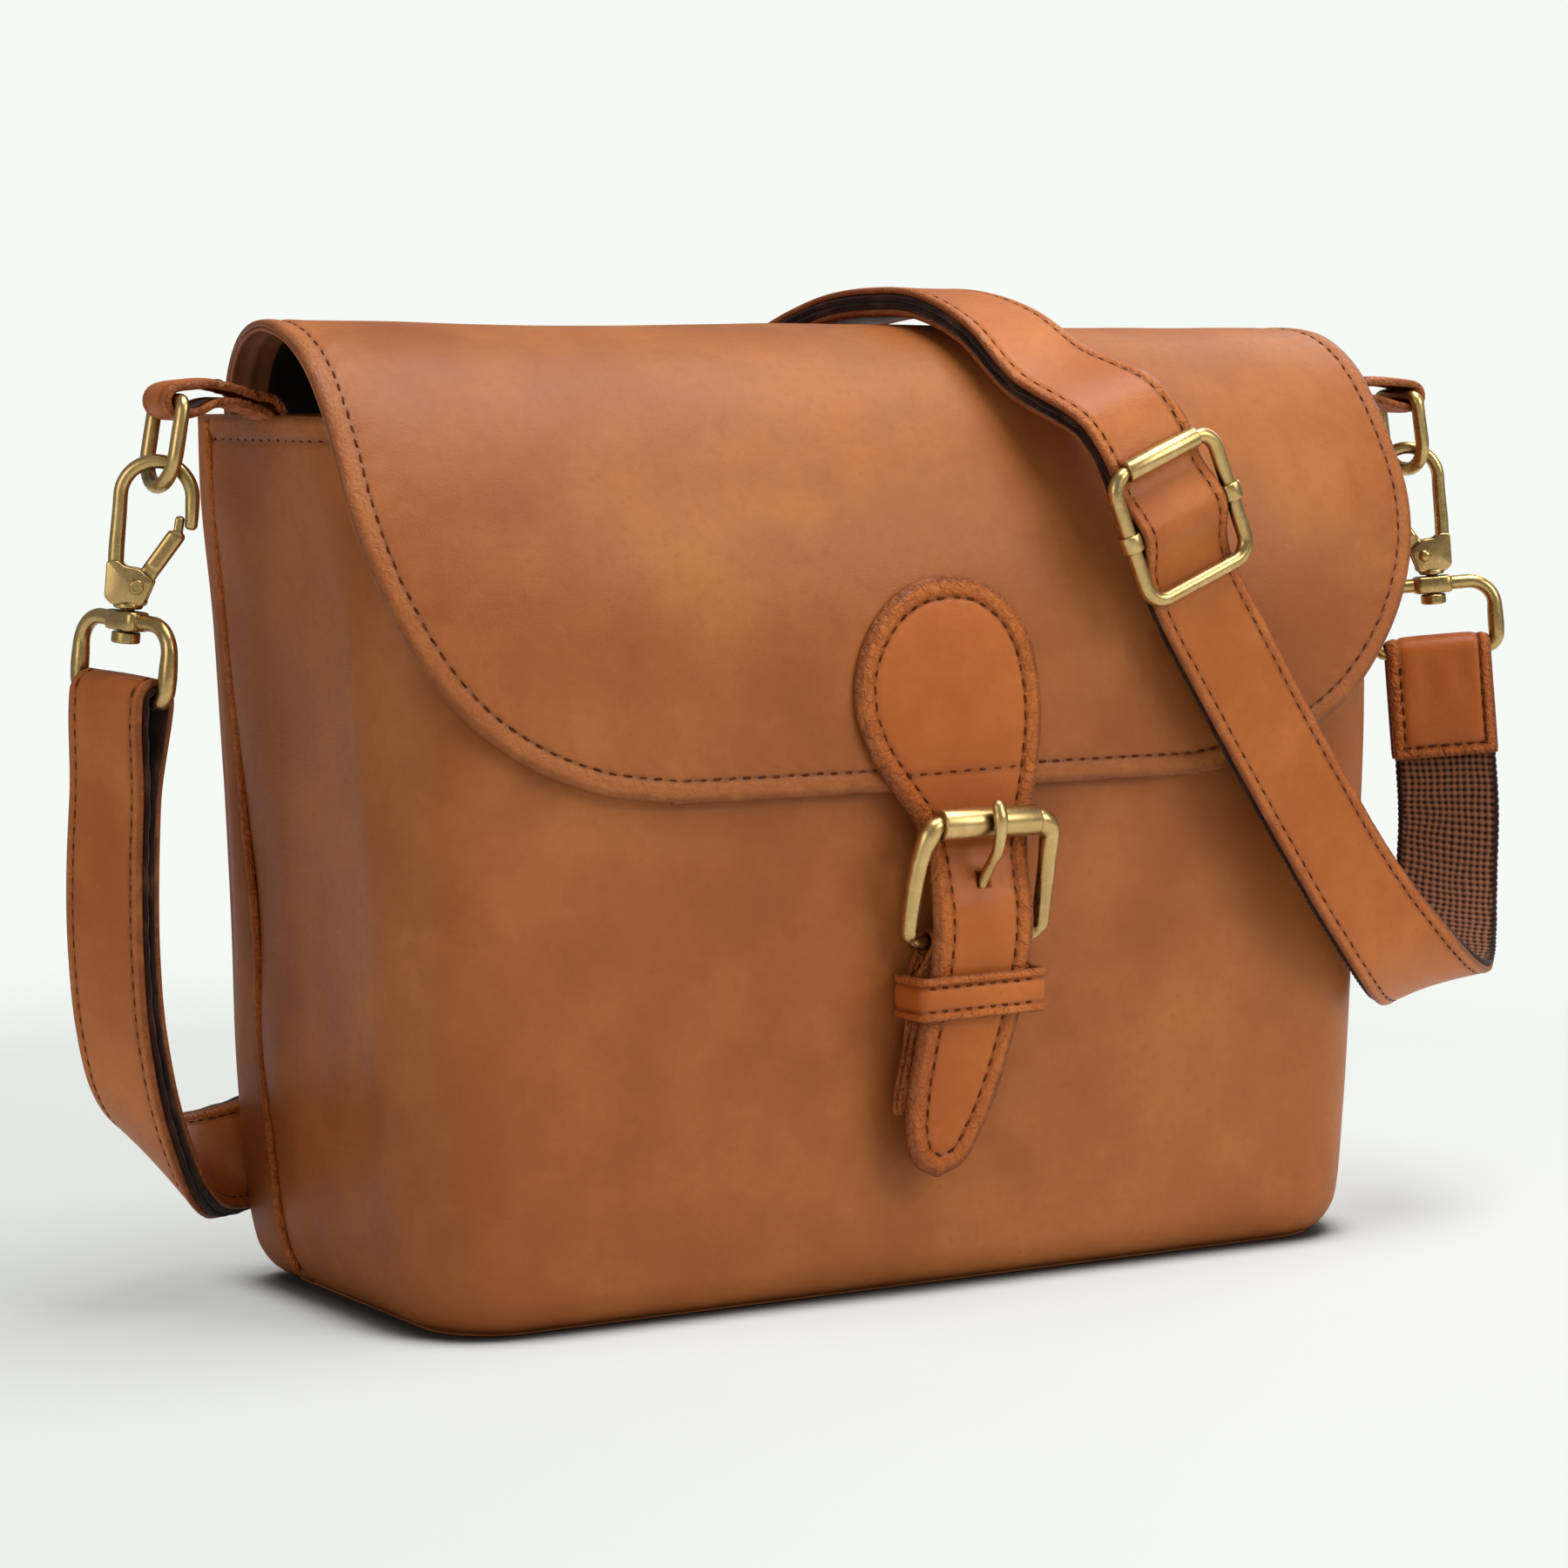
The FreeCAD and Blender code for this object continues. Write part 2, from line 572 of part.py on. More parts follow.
def hook_outline():
    z = -HOOK_T / 2

    def lines(points):
        return line_edges([V(x, y, z) for x, y in points])

    def bow(left_x, top_y, right_x):
        return [V(left_x, BOW_Y, z), V(BOW_X, top_y, z), V(right_x, BOW_Y, z)]

    out_left, out_right = BOW_X - BOW_OUT_R, BOW_X + BOW_OUT_R
    in_left, in_right = BOW_X - BOW_IN_R, BOW_X + BOW_IN_R
    edges = lines([(-3.0, 0.0), (-4.6, 3.0), (out_left, BOW_Y)])
    edges.append(arc_edge(*bow(out_left, BOW_Y + BOW_OUT_R, out_right)))
    edges += lines([(out_right, BOW_Y), (13.6, 18.4), (10.5, 19.6), (in_right, BOW_Y)])
    edges.append(arc_edge(*bow(in_right, BOW_Y + BOW_IN_R, in_left)))
    edges += lines([(in_left, BOW_Y), (-1.2, 9.4), (4.2, 7.6), (5.4, 4.4), (4.0, 0.0),
                    (-3.0, 0.0)])
    return Part.Wire(edges)


def hook():
    body = Part.Face(hook_outline()).extrude(V(0, 0, HOOK_T))
    # the lower body is a thicker fork that carries the gate rivet
    fork = polygon_face([V(x, y, -FORK_T / 2) for x, y in (
        (-2.6, 0.0), (-4.3, 3.0), (-4.3, 8.6), (-1.4, 8.6),
        (4.6, 7.4), (5.6, 4.4), (3.8, 0.0))]).extrude(V(0, 0, FORK_T))
    body = body.fuse(fork)
    body = body.cut(box(-0.6, 12.0, 1.4, 11.0, -1.55, 1.55))    # fork slot for the gate
    body = body.cut(pivot_cylinder(PIVOT_HOLE_R, 8, -4))
    # the inner edges of the bow are eased on both faces
    for k in (1, -1):
        body = body.cut(Part.makeCone(BOW_IN_R, BOW_IN_R + 2.2, 2.2,
                                      V(BOW_X, BOW_Y, 0.7 * k), V(0, 0, k)))
    return body.fuse(stem_cylinder(3.3, 1.2, -0.6)).removeSplitter()   # collar


def hook_gate():
    z = -GATE_T / 2
    eye = pivot_cylinder(2.1, GATE_T, z)
    along = unit(V(9.4 - PIVOT_X, 19.2 - PIVOT_Y, 0))
    aside = V(-along.y, along.x, 0)
    root, end = V(PIVOT_X, PIVOT_Y, z), V(9.1, 18.6, z)
    bar = polygon_face([
        root + aside * 1.7, end + aside * 1.5, end + along * 1.7 + aside * 0.6,
        end + along * 1.0 - aside * 0.9, end - aside * 1.5, root - aside * 1.7,
    ]).extrude(V(0, 0, GATE_T))
    return fuse([eye, bar]).cut(pivot_cylinder(PIVOT_HOLE_R, 8, -4))


def gate_rivet():
    """Pin with a slotted head and a smaller tail head."""
    slot = box(PIVOT_X - 2.1, PIVOT_X + 2.1, PIVOT_Y - 0.25, PIVOT_Y + 0.25, 3.15, 4.0)
    head = pivot_cylinder(1.9, 0.8, 2.65).cut(slot)
    return fuse([pivot_cylinder(0.9, 6.4, -2.9), head, pivot_cylinder(1.6, 0.6, -3.25)])


def gate_spring():
    """One coil on each side of the gate."""
    return Part.makeCompound([Part.makeTorus(1.24, 0.16, V(PIVOT_X, PIVOT_Y, z), Z_AXIS)
                              for z in (1.33, -1.33)])


def swivel_stem():
    """Pin fixed in the hook that turns in the boss of the swivel loop."""
    head_r = 3.2
    stem = fuse([stem_cylinder(1.5, 6.6, -7.2), stem_cylinder(head_r, 2.6, -8.3)])
    return fillet_rims(stem, head_r, 0.5)


def swivel_loop():
    """Wire rectangle hanging from a bored boss; the strap bar is its lower side."""
    half, drop, top_r, low_r = LOOP_HALF, LOOP_DROP, LOOP_TOP_R, LOOP_BOTTOM_R
    clockwise = Z_AXIS * -1
    loop = fuse(rod((-half + top_r, 0, 0), [
        ("line", (half - top_r, 0, 0)),
        ("arc", (half - top_r, -top_r, 0), clockwise, 90),
        ("line", (half, -drop + low_r, 0)),
        ("arc", (half - low_r, -drop + low_r, 0), clockwise, 90),
        ("line", (-half + low_r, -drop, 0)),
        ("arc", (-half + low_r, -drop + low_r, 0), clockwise, 90),
        ("line", (-half, -top_r, 0)),
        ("arc", (-half + top_r, -top_r, 0), clockwise, 90),
    ], LOOP_WIRE))
    boss_r, boss_h = 3.9, 4.4
    boss = Part.makeCylinder(boss_r, boss_h, V(0, -boss_h / 2, 0), Y_AXIS)
    boss = fillet_rims(boss, boss_r, 0.7)
    bore = Part.makeCylinder(1.62, 12, V(0, -6, 0), Y_AXIS)
    return loop.fuse(boss).cut(bore).removeSplitter()


for side, sign in SIDES:
    hook_matrix = frame_matrix(*hook_axes(side, sign))
    for name, build in (("hook_", hook), ("hook_gate_", hook_gate), ("gate_rivet_", gate_rivet),
                        ("gate_spring_", gate_spring), ("swivel_stem_", swivel_stem)):
        save(name + side, placed(build(), hook_matrix))
    save("swivel_loop_" + side, placed(swivel_loop(), frame_matrix(*loop_axes(side, sign))))

# ------------------------------------------------------------------ the strap
STRAP_HALF_W = 12.5
STRAP_LEATHER = 1.4
STRAP_WEBBING = 1.5
STRAP_GAP = 0.25         # clearance left between strap layers
WEBBING_NEAR = STRAP_GAP / 2
LEATHER_NEAR = WEBBING_NEAR + STRAP_WEBBING + STRAP_GAP
STRAP_LAYERS = {         # near and far face of each layer, from the strap's centre surface
    "webbing": (WEBBING_NEAR, WEBBING_NEAR + STRAP_WEBBING),
    "leather": (LEATHER_NEAR, LEATHER_NEAR + STRAP_LEATHER),
}
STEPS = 3                # stations per table row
BAR_CLEARANCE = 0.2      # between the left loop bar and the strap's centre surface
SPREAD_LENGTH = 24.0     # the left layers close up over this length
# the doubled strap is split at the flap's fold, so that the flap can swing
BACK_END_Z = 190.6
BEND_Z = (190.8, 205.4)
FLAP_START_Z = 205.6

# slider frame of reference on the flap
SLIDER_AT = V(57.2, -60.0, 178.6)
SLIDER_ALONG = unit(V(0.3846, 0.0, -0.923))      # down the strap
SLIDER_ACROSS = unit(V(0.923, 0.0, 0.3846))
SLIDER_OUT = V(0, -1, 0)
SLIDER_RUN = range(-18, 19, 3)       # stations of the straight run through the slider
SLIDER_INNER_END = 6                 # the inner layers end here
HUMP_HEIGHT, HUMP_REACH = 5.0, 12.5


def slider_point(along, across=0, out=0):
    return SLIDER_AT + SLIDER_ALONG * along + SLIDER_ACROSS * across + SLIDER_OUT * out


def row(point, across):
    return (point.x, point.y, point.z, across.x, across.y, across.z)


def slider_rows(positions):
    return [row(slider_point(along), SLIDER_ACROSS) for along in positions]


LEFT_BAR, LEFT_ACROSS, left_up = loop_bar("left", -1)
RIGHT_BAR, right_across, right_up = loop_bar("right", 1)

# Strap rows: x, y, z of the centre, then the direction across the strap.
LEFT_ROWS = [            # down from the left loop and round to the back
    row(LEFT_BAR, LEFT_ACROSS),
    row(LEFT_BAR - left_up * 9.0, LEFT_ACROSS),
    row(LEFT_BAR - left_up * 22.0, V(0.30, -0.954, 0)),
    row(LEFT_BAR - left_up * 40.0, V(0.29, -0.957, 0)),
    (-176.5, 13.0, 84.0, 0.28, -0.96, 0),
    (-175.5, 14.0, 66.0, 0.28, -0.96, -0.02),
    (-170.0, 18.5, 48.0, 0.33, -0.90, -0.25),
    (-157.0, 31.0, 33.0, 0.36, -0.66, -0.66),
]
BACK_ROWS = [            # up across the back, continuing from the left rows
    (-138.5, 49.8, 27.0, 0.32, -0.32, -0.88),
    (-113.0, 58.4, 31.5, 0.36, -0.05, -0.93),
    (-82.0, 58.4, 52.0, 0.60, 0, -0.80),
    (-46.0, 56.0, 92.0, 0.76, 0, -0.65),
    (-12.0, 53.8, 138.0, 0.84, 0, -0.54),
    (8.0, 52.6, 176.0, 0.90, 0, -0.42),
    (16.0, 52.2, 198.0, 0.92, 0, -0.38),
]
FLAP_ROWS = [            # over the flap, from the back edge to the slider
    (17.2, 51.6, 205.5, 0.93, 0, -0.36),
    (19.5, 47.6, 215.5, 0.95, 0.2, -0.2),
    (22.0, 38.0, 223.2, 0.975, 0.2, 0.05),
    (25.5, 24.0, 227.4, 0.975, 0.22, 0),
    (29.0, 8.0, 229.0, 0.975, 0.22, 0),
    (31.5, -8.0, 228.0, 0.975, 0.2, 0),
    (34.5, -24.0, 222.6, 0.97, 0.2, 0.1),
    (38.5, -39.0, 212.0, 0.95, 0.1, 0.25),
    row(slider_point(-27, -0.6, -4.2), V(0.93, 0.03, 0.36)),
] + slider_rows((-18, -9, 0))
DIAGONAL_ROWS = slider_rows((0, 9, 18)) + [      # from the slider down across the front
    (79.5, -60.3, 137.5, 0.87, 0, 0.49),
    (98.0, -60.2, 110.0, 0.84, 0, 0.54),
]
RIGHT_ROWS = [           # round the lower right bend and up to the right loop
    (114.0, -59.6, 88.5, 0.84, -0.02, 0.53),
    (129.0, -56.6, 73.0, 0.82, -0.15, 0.55),
    (145.0, -48.6, 64.0, 0.78, -0.42, 0.45),
    (159.5, -36.5, 62.0, 0.80, -0.55, 0.2),
    (170.5, -24.0, 70.0, 0.85, -0.52, 0.05),
    (176.5, -16.0, 86.0, 0.853, -0.522, 0),
] + [row(RIGHT_BAR - right_up * drop, right_across * -1.0) for drop in (40.0, 30.0, 14.0, 4.2)]
BEND_ROWS = BACK_ROWS[-2:] + FLAP_ROWS[:3]


def catmull_rom(rows):
    """Dense rows on a Catmull-Rom curve through the given rows."""
    before = tuple(2 * a - b for a, b in zip(rows[0], rows[1]))
    after = tuple(2 * a - b for a, b in zip(rows[-1], rows[-2]))
    padded = [before] + list(rows) + [after]
    result = []
    for i in range(1, len(padded) - 2):
        for k in range(STEPS):
            t = k / float(STEPS)
            result.append(tuple(
                0.5 * ((2 * b) + (-a + c) * t + (2 * a - 5 * b + 4 * c - d) * t * t
                       + (-a + 3 * b - 3 * c + d) * t * t * t)
                for a, b, c, d in zip(*padded[i - 1:i + 3])))
    result.append(tuple(rows[-1]))
    return result


def stations(rows):
    """Stations (point, along, across, normal) of a strap run."""
    dense = catmull_rom(rows)
    result = []
    for i, values in enumerate(dense):
        before, after = dense[max(i - 1, 0)], dense[min(i + 1, len(dense) - 1)]
        along = unit(V(*after[:3]) - V(*before[:3]))
        across = V(*values[3:])
        across = unit(across - along * across.dot(along))
        result.append((V(*values[:3]), along, across, along.cross(across)))
    return result


def arc_lengths(run):
    lengths = [0.0]
    for previous, station in zip(run, run[1:]):
        lengths.append(lengths[-1] + (station[0] - previous[0]).Length)
    return lengths


def smooth_step(value):
    k = min(max(value, 0.0), 1.0)
    return k * k * (3 - 2 * k)


def ribbon(run, layer, face=1.0, lift=None):
    """One strap layer on one face (1 or -1) of the run, raised by lift at each station."""
    near, far = layer
    wires = []
    for i, (point, _, across, normal) in enumerate(run):
        raised = lift[i] if lift else 0.0
        half = across * STRAP_HALF_W
        low = normal * (near + raised) * face
        high = normal * (far + raised) * face
        corners = [point - half + low, point + half + low, point + half + high,
                   point - half + high]
        wires.append(Part.makePolygon(corners + [corners[0]]))
    solid = Part.makeLoft(wires, True, True)
    # a loft can come out inside out, depending on the direction of its sections
    if solid.Volume < 0:
        solid.reverse()
    return solid


def doubled(run, layer, lift=None):
    """The same layer on both faces of the run."""
    return [ribbon(run, layer, face, lift) for face in (1.0, -1.0)]


def half_wrap(centre, across, open_to, inner_r, outer_r, half_w):
    """Half tube over a bar; the open side faces along open_to."""
    shell = tube(outer_r, inner_r, 2 * half_w, centre - across * half_w, across)
    normal = open_to.cross(across)
    corner = centre - across * (2 * half_w + 30) - normal * 30
    cutter = placed(Part.makeBox(4 * half_w + 60, 60, 60),
                    frame_matrix(corner, across, normal, across.cross(normal)))
    return shell.cut(cutter)


def fold_box(z0, z1):
    """Block round the strap at the flap's fold."""
    return box(-60, 100, 30, 80, z0, z1)


def strap_left(run, layer):
    """Both faces of the left drop, joined over the loop bar."""
    bar_r = LOOP_WIRE + BAR_CLEARANCE
    spread = [bar_r * (1 - smooth_step(s / SPREAD_LENGTH)) for s in arc_lengths(run)]
    point, along, across, _ = run[0]
    wrap = half_wrap(point, across, along, bar_r + layer[0], bar_r + layer[1], STRAP_HALF_W)
    return fuse(doubled(run, layer, spread) + [wrap])


def strap_back(run, layer):
    room = fold_box(BACK_END_Z, 240)
    return Part.makeCompound([s.cut(room) for s in doubled(run, layer)])


def strap_bend(run, layer):
    """Short doubled piece that bends when the flap swings."""
    return Part.makeCompound([s.common(fold_box(*BEND_Z)) for s in doubled(run, layer)])


def hump(along):
    """Height of the running layer over the slider's middle bar."""
    if abs(along) >= HUMP_REACH:
        return 0.0
    return HUMP_HEIGHT * (0.5 + 0.5 * math.cos(math.pi * abs(along) / HUMP_REACH))


def strap_flap(flap_run, diagonal_run, layer):
    """Outer layer from the fold through the slider and on down; inner layer to the slider."""
    def from_slider(station):
        return (station[0] - SLIDER_AT).dot(SLIDER_ALONG)

    above = [s for s in flap_run if from_slider(s) < -20.5 or s[0].y > -40]
    through = [(slider_point(k), SLIDER_ALONG, SLIDER_ACROSS, SLIDER_OUT) for k in SLIDER_RUN]
    below = [s for s in diagonal_run if from_slider(s) > 20.0]
    lift = [0.0] * len(above) + [hump(k) for k in SLIDER_RUN] + [0.0] * len(below)
    outer = ribbon(above + through + below, layer, lift=lift)
    inner_through = [s for s, k in zip(through, SLIDER_RUN) if k <= SLIDER_INNER_END]
    inner = ribbon(above + inner_through, layer, face=-1.0)
    below_fold = fold_box(150, FLAP_START_Z)
    return Part.makeCompound([outer.cut(below_fold), inner.cut(below_fold)])


def strap_right(run, layer):
    """Single run; towards the loop the two layers centre themselves on the bar."""
    start_gap, centring_start, centring_length = 0.4, 60.0, 30.0
    middle = (STRAP_LAYERS["webbing"][0] + STRAP_LAYERS["leather"][1]) / 2
    lengths = arc_lengths(run)
    shift = [-middle * smooth_step((s - (lengths[-1] - centring_start)) / centring_length)
             for s in lengths]
    point, along, across, normal = run[0]
    first = (point + along * start_gap, along, across, normal)
    return ribbon([first] + run[1:], layer, lift=shift)


def strap_end_cap(last_station):
    """Leather cap folded over the right loop bar, sandwiching the strap end."""
    half_w, length, thickness = 12.6, 27.0, 1.5
    inner_r = LOOP_WIRE + 0.25
    _, along, across, normal = last_station
    down = along * -1.0
    pieces = [half_wrap(RIGHT_BAR, across, down, inner_r, inner_r + thickness, half_w)]
    for face in (1, -1):
        ex, ez = across * face, normal * face
        corner = RIGHT_BAR - ex * half_w + ez * inner_r
        leaf = Part.makeBox(2 * half_w, length, thickness)
        pieces.append(placed(leaf, frame_matrix(corner, ex, down, ez)))
    return fuse(pieces)


left_back = stations(LEFT_ROWS + BACK_ROWS)
left_end = (len(LEFT_ROWS) - 1) * STEPS
diagonal_right = stations(DIAGONAL_ROWS + RIGHT_ROWS)
diagonal_end = (len(DIAGONAL_ROWS) - 1) * STEPS
right_run = diagonal_right[diagonal_end:]

for material, layer in STRAP_LAYERS.items():
    name = "strap_" + material
    save(name + "_left", strap_left(left_back[:left_end + 1], layer))
    save(name + "_back", strap_back(left_back[left_end:], layer))
    save(name + "_bend", strap_bend(stations(BEND_ROWS), layer))
    save(name + "_flap",
         strap_flap(stations(FLAP_ROWS), diagonal_right[:diagonal_end + 1], layer))
    save(name + "_right", strap_right(right_run, layer))
save("strap_end_cap", strap_end_cap(right_run[-1]))

# ----------------------------------------------------------------- the slider
# Local frame: x across the strap, y up the strap, z outwards.
RAIL_Z = 5.9             # frame height above the strap's centre surface
MIDDLE_Z = 3.2           # middle bar height
MIDDLE_R = 1.5
SLIDER_HALF_L, SLIDER_HALF_W = 15.8, 15.4
COLLAR_R, COLLAR_L = 2.9, 4.2


def slider_frame():
    """Rounded rectangle with a lower-lying middle bar and a collar on each side."""
    pieces = rectangular_frame(SLIDER_HALF_W, -SLIDER_HALF_L, SLIDER_HALF_L, RAIL_Z,
                               corner_r=4.2, low_bar_r=1.9, side_r=1.9, high_bar_r=1.6)
    pieces.append(Part.makeCylinder(MIDDLE_R, 2 * SLIDER_HALF_W,
                                    V(-SLIDER_HALF_W, 0, MIDDLE_Z), X_AXIS))
    for x in (-SLIDER_HALF_W, SLIDER_HALF_W):
        bar_end = V(x, 0, MIDDLE_Z)
        pieces.append(Part.makeCylinder(COLLAR_R, COLLAR_L, V(x, -COLLAR_L / 2, RAIL_Z), Y_AXIS))
        pieces.append(Part.makeCylinder(MIDDLE_R, RAIL_Z - MIDDLE_Z, bar_end, Z_AXIS))
        pieces.append(Part.makeSphere(MIDDLE_R, bar_end))
    return fuse(pieces)


def slider_roller():
    """Roller on the upper bar."""
    return bar_roller(outer_r=2.5, bore_r=1.68, half_length=10.8,
                      y=SLIDER_HALF_L, z=RAIL_Z, fillet_r=0.4)


slider_up = SLIDER_ALONG * -1.0
slider_matrix = frame_matrix(SLIDER_AT, SLIDER_ACROSS, slider_up, SLIDER_ACROSS.cross(slider_up))
save("slider_frame", placed(slider_frame(), slider_matrix))
save("slider_roller", placed(slider_roller(), slider_matrix))
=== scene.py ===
# Leather shoulder bag: an open-topped body, a flap hinged along the back of the rim, a closure
# strap with a roller buckle, and a webbing-backed shoulder strap held by a snap hook per side.
# It stands on z = 0 with its front towards -y, its back towards +y and its right side at +x.
# Shapes are in millimetres and become metres in make(); lights and camera are in metres.
import bpy
import math
import numpy as np
from mathutils import Matrix, Vector


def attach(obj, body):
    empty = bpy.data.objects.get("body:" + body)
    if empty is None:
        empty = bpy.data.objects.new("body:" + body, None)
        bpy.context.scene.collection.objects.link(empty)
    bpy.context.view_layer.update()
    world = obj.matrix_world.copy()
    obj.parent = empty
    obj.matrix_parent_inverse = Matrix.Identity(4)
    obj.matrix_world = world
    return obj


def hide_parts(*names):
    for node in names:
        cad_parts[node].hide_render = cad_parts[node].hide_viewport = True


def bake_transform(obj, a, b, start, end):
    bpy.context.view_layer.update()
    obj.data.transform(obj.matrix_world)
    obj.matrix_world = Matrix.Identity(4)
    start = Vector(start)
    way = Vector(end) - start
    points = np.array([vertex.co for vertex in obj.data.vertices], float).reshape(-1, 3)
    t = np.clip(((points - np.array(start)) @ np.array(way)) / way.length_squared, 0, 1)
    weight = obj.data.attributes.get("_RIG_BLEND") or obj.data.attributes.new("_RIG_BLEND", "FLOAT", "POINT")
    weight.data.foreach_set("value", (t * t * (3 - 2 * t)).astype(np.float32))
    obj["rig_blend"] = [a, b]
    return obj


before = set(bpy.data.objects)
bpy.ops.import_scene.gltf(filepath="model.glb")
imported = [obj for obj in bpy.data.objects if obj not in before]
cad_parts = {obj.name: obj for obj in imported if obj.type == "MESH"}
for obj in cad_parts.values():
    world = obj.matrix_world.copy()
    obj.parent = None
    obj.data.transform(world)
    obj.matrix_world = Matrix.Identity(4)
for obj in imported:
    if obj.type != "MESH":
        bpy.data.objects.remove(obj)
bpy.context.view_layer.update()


MM = 0.001

# ------------------------------------------------------------------ dimensions
# Body sections: z, half width, front y, back y, front corner radius, back corner radius.
BODY = np.array([
    (0.0, 122.0, -44.5, 44.5, 17.0, 11.0), (3.0, 125.5, -47.6, 47.4, 19.0, 10.0),
    (9.0, 128.5, -49.4, 48.6, 20.0, 9.0), (36.0, 133.0, -50.0, 47.6, 23.0, 8.0),
    (80.0, 135.2, -50.0, 46.0, 24.0, 8.0), (118.0, 137.2, -49.8, 44.6, 24.0, 8.0),
    (150.0, 138.8, -48.4, 43.4, 24.0, 8.0), (170.0, 139.9, -44.8, 42.6, 24.0, 8.0),
    (186.0, 140.7, -38.8, 41.8, 22.0, 8.0), (202.0, 141.5, -31.4, 41.0, 20.0, 8.0)])
RIM_Z = BODY[-1, 0]
PANEL_T = 1.8
SEAM = 7.5              # side seam, ahead of the back face
HEM_Z, HEM_PITCH = 197.2, 3.7
FACING_TOP = 201.5

# Outer face of the flap's root band and of the flap, from the back to the front edge: y, z.
FLAP_PROFILE = np.array([
    (44.4, 182.0), (44.2, 190.0), (44.5, 196.5), (45.6, 200.6), (46.1, 203.6), (44.2, 208.6),
    (39.0, 214.6), (30.0, 219.6), (17.0, 222.6), (3.0, 223.3), (-10.0, 221.6), (-21.5, 216.6),
    (-31.5, 208.3), (-40.5, 197.0), (-47.4, 184.0), (-51.8, 170.5), (-53.8, 157.0),
    (-54.0, 140.0), (-54.0, 117.4)])
# Right border of the flap's front, from the lower edge upwards: x, z.
FLAP_OUTLINE = np.array([
    (72.0, 117.6), (90.0, 120.4), (106.0, 126.4), (120.0, 135.6), (130.0, 146.6),
    (137.0, 158.6), (142.0, 172.0), (144.6, 186.0), (145.0, 200.0)])
LOWER_HALF = FLAP_OUTLINE[0, 0]
FLAP_INSET, FLAP_PITCH = 4.6, 3.8
FLAP_HINGE = dict(start=(0, 0.0434, 0.198), end=(0, 0.0434, 0.210))

# Closure strap. Back face: y, z. Left and right borders: x, z.
TAB_BACK = np.array([
    (-52.9, 166.5), (-54.05, 155.0), (-54.2, 140.0), (-54.2, 118.0), (-54.3, 112.0),
    (-55.0, 106.0), (-57.4, 97.0), (-59.6, 89.5), (-60.2, 82.0), (-59.6, 74.0), (-58.9, 66.0),
    (-58.7, 56.0), (-58.3, 44.0), (-57.4, 28.0)])
TAB_LEFT = np.array([
    (-0.8, 165.2), (-9.5, 163.4), (-17.0, 158.6), (-22.5, 151.2), (-25.0, 142.5),
    (-24.0, 133.0), (-20.0, 124.5), (-13.5, 116.0), (-8.6, 109.5), (-6.8, 103.0), (-6.8, 96.0),
    (-7.2, 84.0), (-8.6, 70.0), (-11.2, 58.0), (-13.0, 47.0), (-13.0, 38.0), (-10.6, 31.6),
    (-5.2, 28.6)])
TAB_RIGHT = np.array([
    (-5.2, 28.6), (1.2, 31.4), (5.6, 38.0), (9.8, 47.0), (13.6, 58.0), (16.8, 70.0),
    (18.4, 84.0), (18.9, 96.0), (19.6, 103.0), (21.0, 109.5), (22.8, 117.0), (24.0, 126.0),
    (24.4, 135.0), (23.4, 143.5), (20.8, 151.5), (15.4, 159.0), (8.0, 163.8), (-0.8, 165.2)])
TAB_T = 2.2
TAB_INSET, TAB_PITCH = 4.2, 3.7
CROSS_ROW_Z = 121.0
BUCKLE_X, BAR_Y, BAR_Z = 6.0, -56.2, 82.0
ROLLER_Y, ROLLER_Z = -61.6, 109.5

# Shoulder strap stations: centre x, y, z, then the direction across the strap.
STRAP_LEFT = [
    (-175.125, 12.5282, 140.749, 0.2571, -0.9643, -0.0632),
    (-175.79, 12.94, 131.78, 0.262, -0.963, -0.05), (-176.6, 13.4, 118.8, 0.27, -0.96, -0.03),
    (-177.3, 13.8, 101.5, 0.28, -0.96, -0.01), (-177.2, 14, 84, 0.285, -0.958, -0.02),
    (-175.3, 15.3, 66, 0.29, -0.955, -0.06), (-169.6, 19.6, 48, 0.32, -0.9, -0.26)]
STRAP_BACK = [
    (-157, 31, 33, 0.36, -0.66, -0.66), (-138.5, 49.8, 27, 0.32, -0.32, -0.88),
    (-113, 58.4, 31.5, 0.36, -0.05, -0.93), (-82, 58.4, 52, 0.6, 0, -0.8),
    (-46, 56, 92, 0.76, 0, -0.65), (-12, 53.8, 138, 0.84, 0, -0.54),
    (8, 52.6, 176, 0.9, 0, -0.42), (16, 52.2, 198, 0.92, 0, -0.38)]
STRAP_FLAP = [
    (17.2, 51.6, 205.5, 0.93, 0, -0.36), (19.5, 47.6, 215.5, 0.95, 0.2, -0.2),
    (22, 38, 223.2, 0.975, 0.2, 0.05), (25.5, 24, 227.4, 0.975, 0.22, 0),
    (29, 8, 229, 0.975, 0.22, 0), (31.5, -8, 228, 0.975, 0.2, 0),
    (34.5, -24, 222.6, 0.97, 0.2, 0.1), (38.5, -39, 212, 0.95, 0.1, 0.25),
    (46.261, -55.8, 203.292, 0.93, 0.03, 0.36), (50.277, -60, 195.215, 0.923, 0, 0.385),
    (53.738, -60, 186.908, 0.923, 0, 0.385), (57.2, -60, 178.6, 0.923, 0, 0.385)]
